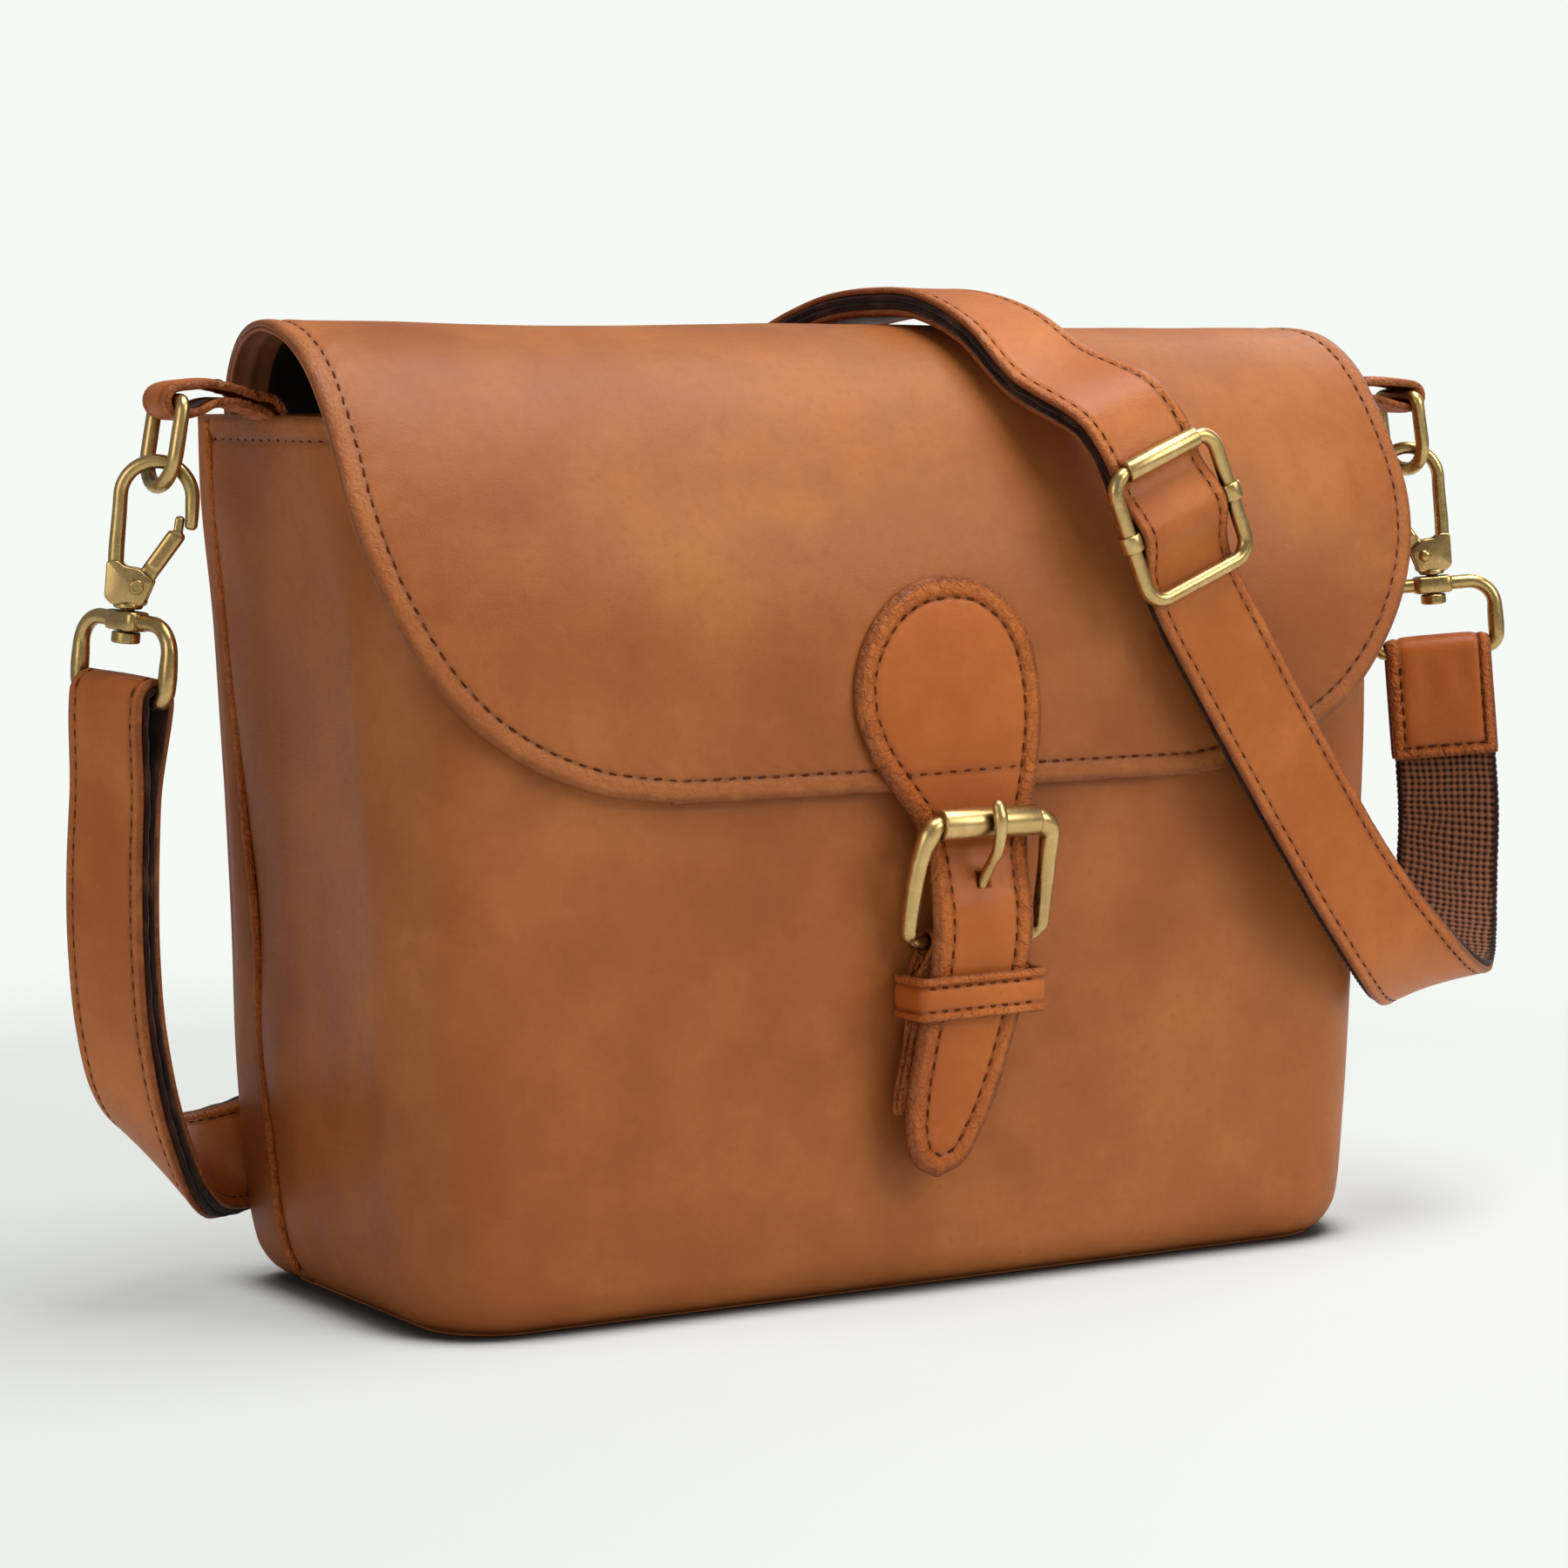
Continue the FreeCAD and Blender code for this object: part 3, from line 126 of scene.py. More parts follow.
STRAP_RIGHT = [
    (57.2, -60, 178.6, 0.923, 0, 0.385), (60.662, -60, 170.292, 0.923, 0, 0.385),
    (64.123, -60, 161.985, 0.923, 0, 0.385), (79.5, -60.3, 137.5, 0.87, 0, 0.49),
    (98, -60.2, 110, 0.84, 0, 0.54), (112, -60, 90.5, 0.84, -0.02, 0.53),
    (126, -57.8, 75.4, 0.82, -0.12, 0.54), (140, -52, 66, 0.79, -0.34, 0.46),
    (153.5, -43.4, 62.4, 0.8, -0.48, 0.3), (165, -33, 64.2, 0.84, -0.53, 0.14),
    (173.6, -24, 72, 0.85, -0.53, 0.06), (179.2, -17.6, 84.5, 0.85, -0.52, 0.06),
    (181.7, -14.8, 98, 0.85, -0.52, 0.08), (181.35, -13.89, 110.86, 0.8497, -0.52, 0.0872),
    (180.17, -13.16, 126.8, 0.8497, -0.52, 0.0872),
    (179.44, -12.72, 136.56, 0.8497, -0.52, 0.0872)]
# Offsets of the strap's layers from its centre surface.
WEB_IN, WEB_OUT, LEATHER_IN, LEATHER_OUT = 0.125, 1.625, 1.875, 3.275
LAYER_MID = (WEB_IN + LEATHER_OUT) / 2
STRAP_HALF = 12.5
STRAP_HINGE = dict(start=(0, 0.05, 0.19), end=(0, 0.05, 0.22))

# Slider on the strap: centre, direction down the strap, across it, and away from the bag.
SLIDER = np.array([57.2, -60.0, 178.6])
SLIDER_DOWN = np.array([0.38463, 0.0, -0.92307])
SLIDER_ACROSS = np.array([0.92307, 0.0, 0.38463])
SLIDER_OUT = np.array([0.0, -1.0, 0.0])

# Anchor tabs and their rings: sign of x, |x| of the ring's bar, y.
ANCHORS = {"left": (-1.0, 164.6, 8.0), "right": (1.0, 168.6, -8.0)}
RING_Z = 206.0
# Local frames of the hook and the swivel loop: origin and three axes.
HOOK_FRAMES = {
    "left": [(-173.9634, 11.8172, 160.9067), (0.8497, -0.52, -0.0872),
             (0.0743, -0.0455, 0.9962), (-0.522, -0.853, 0)],
    "right": [(177.9634, -11.8172, 160.9067), (-0.8497, 0.52, -0.0872),
              (-0.0743, 0.0455, 0.9962), (0.522, 0.853, 0)]}
LOOP_FRAMES = {
    "left": [(-175.1252, 12.5282, 140.7487), (0.2571, -0.9643, -0.0632),
             (0.0743, -0.0455, 0.9962), (-0.9635, -0.2608, 0.06)],
    "right": [(179.1252, -12.5282, 140.7487), (-0.8497, 0.52, -0.0872),
              (-0.0743, 0.0455, 0.9962), (0.522, 0.853, 0)]}
X_AXIS = np.array([1.0, 0, 0])
Z_AXIS = np.array([0, 0, 1.0])


# ------------------------------------------------------------------ numeric helpers
def unit(a):
    a = np.asarray(a, float)
    return a / np.maximum(np.linalg.norm(a, axis=-1, keepdims=True), 1e-12)


def ease(low, high, x):
    """Smooth step from 0 at low to 1 at high."""
    t = np.clip((np.asarray(x, float) - low) / (high - low), 0, 1)
    return t * t * (3 - 2 * t)


def bell(x, centre, width):
    return np.exp(-((x - centre) / width) ** 2)


def beat(length, pitch):
    return np.cos(2 * np.pi * length / pitch)


def near_edge(distance, reach):
    """1 on an edge, falling to 0 at the given reach."""
    return np.clip(1 - distance / reach, 0, 1)


def points(x, y, z):
    return np.stack(np.broadcast_arrays(x, y, z), -1)


def cell_mid(grid):
    return (grid[:-1, :-1] + grid[1:, 1:]) / 2


def pchip(xs, ys, x):
    """Monotone cubic through the rows ys at xs."""
    step = np.diff(xs)[:, None]
    slope = np.diff(ys, axis=0) / step
    tangent = np.zeros_like(ys)
    tangent[0], tangent[-1] = slope[0], slope[-1]
    before, after = slope[:-1], slope[1:]
    w_before = 2 * step[1:] + step[:-1]
    w_after = step[1:] + 2 * step[:-1]
    with np.errstate(divide="ignore", invalid="ignore"):
        mean = (w_before + w_after) / (w_before / before + w_after / after)
    tangent[1:-1] = np.where(before * after > 0, mean, 0.0)
    x = np.asarray(x, float)
    flat = np.clip(x.ravel(), xs[0], xs[-1])
    i = np.clip(np.searchsorted(xs, flat, side="right") - 1, 0, len(xs) - 2)
    t = ((flat - xs[i]) / step[i, 0])[:, None]
    out = ys[i] * (1 + 2 * t) * (1 - t) ** 2 + tangent[i] * step[i] * t * (1 - t) ** 2
    out += ys[i + 1] * t * t * (3 - 2 * t) + tangent[i + 1] * step[i] * t * t * (t - 1)
    return out.reshape(x.shape + (ys.shape[1],))


def between(t, t_a, t_b, a, b):
    return (t_b - t) / (t_b - t_a) * a + (t - t_a) / (t_b - t_a) * b


def spline(rows, per_span):
    """Centripetal Catmull-Rom points through rows; the first three columns set the spacing."""
    p = np.asarray(rows, float)
    p = np.vstack([2 * p[0] - p[1], p, 2 * p[-1] - p[-2]])
    chords = np.linalg.norm(np.diff(p[:, :3], axis=0), axis=1)
    steps = np.sqrt(np.maximum(chords, 1e-6))
    out = []
    for i in range(1, len(p) - 2):
        knots = np.concatenate([[0], np.cumsum(steps[i - 1:i + 2])])
        for t in np.linspace(knots[1], knots[2], per_span, endpoint=False):
            a = [between(t, knots[j], knots[j + 1], p[i - 1 + j], p[i + j]) for j in range(3)]
            b = [between(t, knots[j], knots[j + 2], a[j], a[j + 1]) for j in range(2)]
            out.append(between(t, knots[1], knots[2], b[0], b[1]))
    out.append(p[-2])
    return np.array(out)


def arclen(p):
    return np.concatenate([[0], np.cumsum(np.linalg.norm(np.diff(p[:, :3], axis=0), axis=1))])


def interp_rows(at, lengths, rows):
    return np.stack([np.interp(at, lengths, column) for column in rows.T], 1)


def resample(p, step):
    lengths = arclen(p)
    n = max(int(round(lengths[-1] / step)), 2)
    return interp_rows(np.linspace(0, lengths[-1], n + 1), lengths, p)


def even_places(total, pitch):
    n = max(int(total / pitch), 1)
    return (np.arange(n) + 0.5) * (total / n)


def arc_pts(centre, radius, start, end, n):
    """Points on a flat arc, angles in degrees."""
    a = np.radians(np.linspace(start, end, n))
    return np.c_[centre[0] + radius * np.cos(a), centre[1] + radius * np.sin(a)]


def border_distance(x, y, line):
    """Distance from many points to a polyline, and the length along it of the nearest place."""
    p = np.c_[x.ravel(), y.ravel()]
    lengths = arclen(line)
    best = np.full(len(p), 1e9)
    place = np.zeros(len(p))
    for i in range(len(line) - 1):
        start, span = line[i], line[i + 1] - line[i]
        span2 = max(span.dot(span), 1e-12)
        t = np.clip(((p - start) @ span) / span2, 0, 1)
        d = np.linalg.norm(p - (start + t[:, None] * span), axis=1)
        closer = d < best
        best[closer] = d[closer]
        place[closer] = lengths[i] + t[closer] * math.sqrt(span2)
    return best.reshape(x.shape), place.reshape(x.shape)


def inset_line(line, shift):
    """Polyline moved to its left by shift (right if negative), without folded-over parts."""
    p = resample(line, 1.0)
    along = unit(np.gradient(p, axis=0))
    moved = p + np.c_[-along[:, 1], along[:, 0]] * shift
    distance, _ = border_distance(moved[:, 0], moved[:, 1], line)
    return moved[distance > abs(shift) * 0.97]


class Waves:
    """Smooth repeatable random field made of ten sine waves."""

    def __init__(self, seed, dims, scale):
        g = np.random.default_rng(seed)
        n = 10
        self.k = unit(g.normal(size=(n, dims))) * (2 * np.pi / (scale * g.uniform(0.7, 1.6, (n, 1))))
        self.phase = g.uniform(0, 2 * np.pi, n)
        self.gain = 1.0 / math.sqrt(n)

    def __call__(self, *coords):
        coords = [np.asarray(c, float) for c in np.broadcast_arrays(*coords)]
        out = np.zeros(coords[0].shape)
        for k, phase in zip(self.k, self.phase):
            out += np.sin(sum(ki * c for ki, c in zip(k, coords)) + phase)
        return out * self.gain


# ------------------------------------------------------------------ mesh helpers
# A part is a tuple of vertices, faces and point attributes.
def flare(part):
    """Draws the rim outwards at its rear corners, where the straps pull on it."""
    verts, faces, attrs = part
    p = np.array(verts, float)
    ax = np.abs(p[:, 0])
    weight = ease(112, 202, p[:, 2]) * ease(-28, 38, p[:, 1])
    weight = weight * ease(70, 128, ax) * (1 - ease(143, 154, ax))
    p[:, 0] += np.sign(p[:, 0]) * 3.2 * weight
    return p, faces, attrs


def make(name, part, material, body=None, nodes=(), hinge=None, weights=None,
         sharp=None):
    """Adds a part as an object that rides on a body or, with a hinge, blends bag to flap."""
    verts, faces, attrs = part
    mesh = bpy.data.meshes.new(name)
    mesh.from_pydata((np.asarray(verts, float) * MM).tolist(), [],
                     [list(map(int, face)) for face in faces])
    mesh.polygons.foreach_set("use_smooth", [True] * len(mesh.polygons))
    for key, values in attrs.items():
        values = np.asarray(values, np.float32)
        mesh.attributes.new(key, "FLOAT", "POINT").data.foreach_set("value", values)
    mesh.update()
    obj = bpy.data.objects.new(name, mesh)
    bpy.context.scene.collection.objects.link(obj)
    mesh.materials.append(material)
    if sharp is not None:
        mesh.set_sharp_from_angle(angle=math.radians(sharp))
    if body:
        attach(obj, body)
    if hinge:
        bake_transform(obj, "bag", "flap", **hinge)
        if weights is None:
            weights = attrs["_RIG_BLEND"]
        mesh.attributes["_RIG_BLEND"].data.foreach_set("value", weights.astype(np.float32))
    if nodes:
        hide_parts(*nodes)


def grid_normals(grid, wrap=False):
    if wrap:
        du = np.roll(grid, -1, 0) - np.roll(grid, 1, 0)
    else:
        du = np.gradient(grid, axis=0)
    return unit(np.cross(du, np.gradient(grid, axis=1)))


def sheet(outer, depth=None, normals=None, inner=None, wrap=False, keep=None, flip=False,
          edge_rings=3, attrs=None):
    """Closed leather-like sheet: outer grid, inner grid below it, rounded cut edges."""
    rows, cols = outer.shape[:2]
    if normals is None:
        normals = grid_normals(outer, wrap) * (-1 if flip else 1)
    normals = np.broadcast_to(normals, outer.shape)
    if inner is None:
        inner = outer - normals * depth
    count = rows * cols
    index = np.arange(count).reshape(rows, cols)
    i, j = np.meshgrid(np.arange(rows if wrap else rows - 1), np.arange(cols - 1), indexing="ij")
    if keep is not None:
        i, j = i[keep], j[keep]
    i, j = i.ravel(), j.ravel()
    i1 = (i + 1) % rows
    quads = np.stack([index[i, j], index[i1, j], index[i1, j + 1], index[i, j + 1]], 1)
    if flip:
        quads = quads[:, ::-1]
    outer, inner, normals = (a.reshape(-1, 3) for a in (outer, inner, normals))

    # Border edges have no twin running the other way.
    edges = np.concatenate([quads[:, [k, (k + 1) % 4]] for k in range(4)])
    forward = edges[:, 0].astype(np.int64) * count + edges[:, 1]
    backward = edges[:, 1].astype(np.int64) * count + edges[:, 0]
    border = edges[~np.isin(forward, backward)]
    outward_sum = np.zeros((count, 3))
    along = unit(outer[border[:, 1]] - outer[border[:, 0]])
    for c in (0, 1):
        np.add.at(outward_sum, border[:, c], np.cross(along, normals[border[:, c]]))
    rim = np.unique(border)
    rim_index = np.full(count, -1)
    rim_index[rim] = np.arange(len(rim))
    away = unit(outward_sum[rim])
    middle = (outer[rim] + inner[rim]) / 2
    half = (outer[rim] - inner[rim]) / 2
    half_len = np.linalg.norm(half, axis=1, keepdims=True)
    rings = []
    for k in range(1, edge_rings + 1):
        a = math.pi * k / (edge_rings + 1)
        rings.append(middle + half * math.cos(a) + away * half_len * math.sin(a) * 0.8)
    verts = np.vstack([outer, inner] + rings)
    faces = [quads, quads[:, ::-1] + count]
    above = border
    for k in range(edge_rings + 1):
        if k < edge_rings:
            below = 2 * count + k * len(rim) + rim_index[border]
        else:
            below = border + count
        faces.append(np.stack([above[:, 1], above[:, 0], below[:, 0], below[:, 1]], 1))
        above = below
    faces = np.vstack(faces)

    values = {}
    for name, value in (attrs or {}).items():
        flat = np.broadcast_to(np.asarray(value, float), (rows, cols)).ravel()
        rim_values = np.ones(len(rim)) if name == "edge" else flat[rim]
        values[name] = np.concatenate([flat, flat] + [rim_values] * edge_rings)
    values["inner"] = np.concatenate(
        [np.zeros(count), np.ones(count)] + [np.full(len(rim), 0.5)] * edge_rings)
    used = np.unique(faces)
    remap = np.full(len(verts), -1)
    remap[used] = np.arange(len(used))
    return verts[used], remap[faces], {name: v[used] for name, v in values.items()}


def merge(parts):
    verts, faces, start = [], [], 0
    for part_verts, part_faces, _ in parts:
        verts.append(part_verts)
        faces += [list(np.asarray(face) + start) for face in part_faces]
        start += len(part_verts)
    attrs = {k: np.concatenate([part[2][k] for part in parts]) for k in parts[0][2]}
    return np.vstack(verts), faces, attrs


def skin_faces(rings, seg, closed=False):
    """Quads between rings; unless closed, fans at both ends to two extra last vertices."""
    faces = []
    for i in range(rings if closed else rings - 1):
        j = (i + 1) % rings
        for k in range(seg):
            l = (k + 1) % seg
            faces.append([i * seg + k, i * seg + l, j * seg + l, j * seg + k])
    if not closed:
        tip, last = rings * seg, (rings - 1) * seg
        for k in range(seg):
            l = (k + 1) % seg
            faces.append([tip, l, k])
            faces.append([tip + 1, last + k, last + l])
    return faces


def outward(part):
    """Reverses the faces of a closed part if they point inwards."""
    verts, faces, attrs = part
    verts = np.asarray(verts, float)
    volume = 0.0
    for face in faces:
        a = verts[face[0]]
        for i in range(1, len(face) - 1):
            volume += a.dot(np.cross(verts[face[i]], verts[face[i + 1]]))
    if volume < 0:
        faces = [list(face)[::-1] for face in faces]
    return verts, faces, attrs


def tube(path, radius, seg=14, closed=False, up=None, squash=1.0):
    """Round bar along a path; squash flattens the section along its second axis."""
    p = np.asarray(path, float)
    n = len(p)
    radius = np.broadcast_to(np.asarray(radius, float), (n,))
    if closed:
        t = unit(np.roll(p, -1, 0) - np.roll(p, 1, 0))
    else:
        t = unit(np.gradient(p, axis=0))
    if up is None:
        up = Z_AXIS if abs(t[0][2]) < 0.9 else X_AXIS
    u = np.zeros((n, 3))
    u[0] = unit(up - t[0] * up.dot(t[0]))
    for i in range(1, n):
        u[i] = unit(u[i - 1] - t[i] * u[i - 1].dot(t[i]))
    if closed:
        # Spread the closing twist over the whole loop.
        end = unit(u[-1] - t[0] * u[-1].dot(t[0]))
        twist = math.atan2(np.cross(u[0], end).dot(t[0]), u[0].dot(end))
        for i in range(n):
            a = -twist * i / n
            u[i] = u[i] * math.cos(a) + np.cross(t[i], u[i]) * math.sin(a)
    v = np.cross(t, u)
    th = np.linspace(0, 2 * np.pi, seg, endpoint=False)[None, :, None]
    spokes = u[:, None] * np.cos(th) + squash * v[:, None] * np.sin(th)
    verts = (p[:, None] + radius[:, None, None] * spokes).reshape(-1, 3)
    if not closed:
        verts = np.vstack([verts, p[0], p[-1]])
    return verts, skin_faces(n, seg, closed), {}


def lathe(profile, origin, axis, seg=28, bore=None):
    """Turned part from (distance along axis, radius) pairs, closed at the axis or to a bore."""
    axis = unit(axis)
    u = unit(np.cross(axis, Z_AXIS if abs(axis[2]) < 0.9 else X_AXIS))
    v = np.cross(axis, u)
    if bore:
        profile = [(profile[0][0], bore)] + profile + [(profile[-1][0], bore)]
    th = np.linspace(0, 2 * np.pi, seg, endpoint=False)[:, None]
    spokes = u * np.cos(th) + v * np.sin(th)
    verts = [origin + axis * d + spokes * r for d, r in profile]
    if not bore:
        verts += [origin + axis * profile[0][0], origin + axis * profile[-1][0]]
    # Each quad starts one corner on, which sets the diagonal it is split along.
    faces = [face[1:] + face[:1] if len(face) == 4 else face
             for face in skin_faces(len(profile), seg, closed=bool(bore))]
    return outward((np.vstack(verts), faces, {}))


def stitch_unit(seg=6, rings=7):
    """A short plump thread length pulled into its two holes."""
    verts = []
    for i in range(rings):
        a = math.pi * (i + 0.5) / rings
        x = -math.cos(a) * 0.5
        r = math.sin(a) ** 0.6
        dip = -0.9 * abs(2 * x) ** 3
        for k in range(seg):
            b = 2 * math.pi * k / seg
            verts.append((x, r * math.cos(b), r * math.sin(b) + dip))
    verts += [(-0.5, 0, -1.0), (0.5, 0, -1.0)]
    return np.array(verts), skin_faces(rings, seg)


STITCH_VERTS, STITCH_FACES = stitch_unit()


def stitches(places, along, normals, length, radius, lift=0.0, seed=1):
    """Stitches centred at places, running along the given directions on the surface."""
    slant = 0.06
    g = np.random.default_rng(seed)
    verts, faces = [], []
    along = unit(np.broadcast_to(along, places.shape))
    normals = unit(np.broadcast_to(normals, places.shape))
    for k, (p, t, n) in enumerate(zip(places, along, normals)):
        a = g.normal() * slant
        t2 = t * math.cos(a) + np.cross(n, t) * math.sin(a)
        b2 = np.cross(n, t2)
        run = length * g.uniform(0.92, 1.06)
        q = p + n * (lift + g.normal() * 0.02) + b2 * g.normal() * 0.05
        x, y, z = STITCH_VERTS[:, :1], STITCH_VERTS[:, 1:2], STITCH_VERTS[:, 2:3]
        verts.append(q + x * run * t2 + y * radius * b2 + z * radius * 0.8 * n)
        faces += [[i + k * len(STITCH_VERTS) for i in face] for face in STITCH_FACES]
    return np.vstack(verts), faces, {}


# ------------------------------------------------------------------ materials
def srgb(r, g, b):
    def linear(c):
        return c / 12.92 if c <= 0.04045 else ((c + 0.055) / 1.055) ** 2.4
    return (linear(r / 255), linear(g / 255), linear(b / 255), 1.0)


class Shader:
    """A material's node tree, with short ways to add the nodes used here."""

    def __init__(self, name, surface="ShaderNodeBsdfPrincipled"):
        self.mat = bpy.data.materials.new(name)
        self.mat.use_nodes = True
        self.nt = self.mat.node_tree
        self.nt.nodes.clear()
        self.surface = self.add(surface)
        self.link(self.surface.outputs[0], self.add("ShaderNodeOutputMaterial").inputs[0])
        self.coord_node = None

    def coords(self):
        if self.coord_node is None:
            self.coord_node = self.add("ShaderNodeTexCoord")
        return self.coord_node.outputs["Object"]

    def add(self, kind, **settings):
        node = self.nt.nodes.new(kind)
        for key, value in settings.items():
            setattr(node, key, value)
        return node

    def link(self, source, target):
        self.nt.links.new(source, target)

    def put(self, socket, value):
        if hasattr(value, "node"):
            self.link(value, socket)
        else:
            socket.default_value = value

    def set(self, **values):
        """Sets inputs of the surface; underscores stand for spaces."""
        for key, value in values.items():
            self.put(self.surface.inputs[key.replace("_", " ")], value)

    def mapping(self, scale, rot):
        node = self.add("ShaderNodeMapping")
        node.inputs["Scale"].default_value = scale
        node.inputs["Rotation"].default_value = rot
        self.link(self.coords(), node.inputs["Vector"])
        return node.outputs[0]

    def noise(self, scale, detail=3.0, rough=0.55, vec=None, dist=0.0):
        node = self.add("ShaderNodeTexNoise")
        node.inputs["Scale"].default_value = scale
        node.inputs["Detail"].default_value = detail
        node.inputs["Roughness"].default_value = rough
        node.inputs["Distortion"].default_value = dist
        self.link(vec or self.coords(), node.inputs["Vector"])
        return node.outputs["Fac"]

    def voronoi(self, scale, feature="F1", vec=None):
        node = self.add("ShaderNodeTexVoronoi", feature=feature)
        node.inputs["Scale"].default_value = scale
        self.link(vec or self.coords(), node.inputs["Vector"])
        return node.outputs["Distance"]

    def bands(self, direction, scale):
        node = self.add("ShaderNodeTexWave", wave_type="BANDS", bands_direction=direction)
        node.inputs["Scale"].default_value = scale
        self.link(self.coords(), node.inputs["Vector"])
        return node.outputs["Fac"]

    def occlusion(self, distance, samples):
        node = self.add("ShaderNodeAmbientOcclusion")
        node.inputs["Distance"].default_value = distance
        node.samples = samples
        return node.outputs["AO"]

    def attr(self, name):
        return self.add("ShaderNodeAttribute", attribute_name=name).outputs["Fac"]

    def math(self, op, a, b):
        node = self.add("ShaderNodeMath", operation=op)
        for socket, value in zip(node.inputs, (a, b, 0.0)):
            self.put(socket, value)
        return node.outputs[0]

    def times(self, a, b):
        return self.math("MULTIPLY", a, b)

    def plus(self, a, b):
        return self.math("ADD", a, b)

    def ramp(self, value, span, to=(0.0, 1.0)):
        """Smooth step of value over span, mapped to the range to."""
        node = self.add("ShaderNodeMapRange", interpolation_type="SMOOTHSTEP")
        self.put(node.inputs["Value"], value)
        node.inputs["From Min"].default_value, node.inputs["From Max"].default_value = span
        node.inputs["To Min"].default_value, node.inputs["To Max"].default_value = to
        return node.outputs["Result"]

    def mix(self, amount, a, b):
        node = self.add("ShaderNodeMix", data_type="RGBA")
        self.put(node.inputs[0], amount)
        self.put(node.inputs[6], a)
        self.put(node.inputs[7], b)
        return node.outputs[2]

    def bump(self, height, strength, distance, normal=None):
        node = self.add("ShaderNodeBump")
        node.inputs["Strength"].default_value = strength
        node.inputs["Distance"].default_value = distance
        self.put(node.inputs["Height"], height)
        if normal is not None:
            self.link(normal, node.inputs["Normal"])
        return node.outputs[0]


def leather_grain(m, edge, crease):
    """Fine cells, hair-line wrinkles in patches, soft dents, and folds near the edges."""
    drift = m.add("ShaderNodeTexNoise")
    drift.inputs["Scale"].default_value = 60.0
    m.link(m.coords(), drift.inputs["Vector"])
    small = m.add("ShaderNodeVectorMath", operation="SCALE")
    m.link(drift.outputs["Color"], small.inputs[0])
    small.inputs["Scale"].default_value = 0.004
    warp = m.add("ShaderNodeVectorMath", operation="ADD")
    m.link(m.coords(), warp.inputs[0])
    m.link(small.outputs[0], warp.inputs[1])
    cells = m.voronoi(scale=1150.0, feature="DISTANCE_TO_EDGE", vec=warp.outputs[0])
    large_cells = m.voronoi(scale=520.0, feature="DISTANCE_TO_EDGE", vec=warp.outputs[0])
    grain = m.plus(m.ramp(cells, span=(0.0, 0.22)),
                   m.times(m.ramp(large_cells, span=(0.0, 0.10)), 0.5))
    normal = m.bump(grain, strength=0.16, distance=0.00016)
    wrinkle = m.noise(scale=1.0, rough=0.6, dist=0.6,
                      vec=m.mapping(scale=(120, 120, 760), rot=(0.35, 0.25, 0.2)))
    patch = m.noise(scale=26.0, detail=2.0)
    where = m.plus(m.ramp(patch, span=(0.48, 0.68), to=(0.1, 1.0)),
                   m.ramp(edge, span=(0.1, 0.5), to=(0.0, 0.6)))
    normal = m.bump(m.times(wrinkle, where), strength=0.30, distance=0.00022, normal=normal)
    dents = m.noise(scale=75.0, rough=0.5)
    normal = m.bump(dents, strength=0.22, distance=0.0009, normal=normal)
    fold = m.noise(scale=1.0, detail=2.5, dist=1.4,
                   vec=m.mapping(scale=(430, 430, 430), rot=(0.2, 0.5, 0.3)))
    return m.bump(m.times(fold, m.ramp(edge, span=(0.04, 0.40))),
                  strength=min(1.0, 0.6 * crease), distance=0.0008 * crease, normal=normal)


def leather(name, base, dark, light, rough=0.42, mottling=0.5, edge_dark=0.6, crease=1.0):
    m = Shader(name)
    broad = m.noise(scale=11.0, dist=0.4)
    mid = m.noise(scale=46.0, detail=4.0, rough=0.6)
    fine = m.noise(scale=420.0, rough=0.6)
    color = m.mix(m.ramp(broad, span=(0.34, 0.68)), dark, light)
    color = m.mix(1.0 - mottling, color, base)
    blotches = m.mix(m.ramp(mid, span=(0.36, 0.70)), dark, light)
    color = m.mix(0.24, color, blotches)
    color = m.mix(m.ramp(fine, span=(0.45, 0.75), to=(0.0, 0.16)), color, dark)
    # Scattered darker specks.
    specks = m.ramp(m.voronoi(scale=160.0), span=(0.0, 0.16), to=(0.30, 0.0))
    color = m.mix(m.times(specks, m.ramp(mid, span=(0.45, 0.62))), color, dark)
    # Dark cut edges with a rubbed, lighter band beside them.
    edge = m.attr("edge")
    rub = m.noise(scale=150.0, rough=0.6)
    color = m.mix(m.times(m.ramp(edge, span=(0.72, 0.98)), edge_dark), color, srgb(104, 50, 24))
    rubbed = m.times(m.ramp(edge, span=(0.35, 0.70)),
                     m.ramp(rub, span=(0.45, 0.7), to=(0.05, 0.30)))
    color = m.mix(rubbed, color, light)
    # Stitch holes and grooves: painted shade in the holes and along the pressed grooves, over leather that
    # is a little darker there too.
    color = m.mix(m.times(m.attr("stitch_shade"), 0.75), color, srgb(84, 40, 20))
    roughness = m.plus(m.ramp(mid, span=(0.2, 0.8), to=(rough - 0.05, rough + 0.08)),
                       m.ramp(fine, span=(0.3, 0.8), to=(-0.02, 0.05)))
    m.set(Base_Color=color, Roughness=roughness, Specular_IOR_Level=0.24, Coat_Weight=0.04,
          Coat_Roughness=0.35, Normal=leather_grain(m, edge, crease))
    return m.mat


def thread(name, dark, light):
    m = Shader(name)
    color = m.mix(m.ramp(m.noise(scale=900.0), span=(0.35, 0.7)), dark, light)
    twist = m.bands("DIAGONAL", scale=900.0)
    m.set(Base_Color=color, Roughness=0.85, Specular_IOR_Level=0.05,
          Normal=m.bump(twist, strength=0.5, distance=0.0001))
    return m.mat


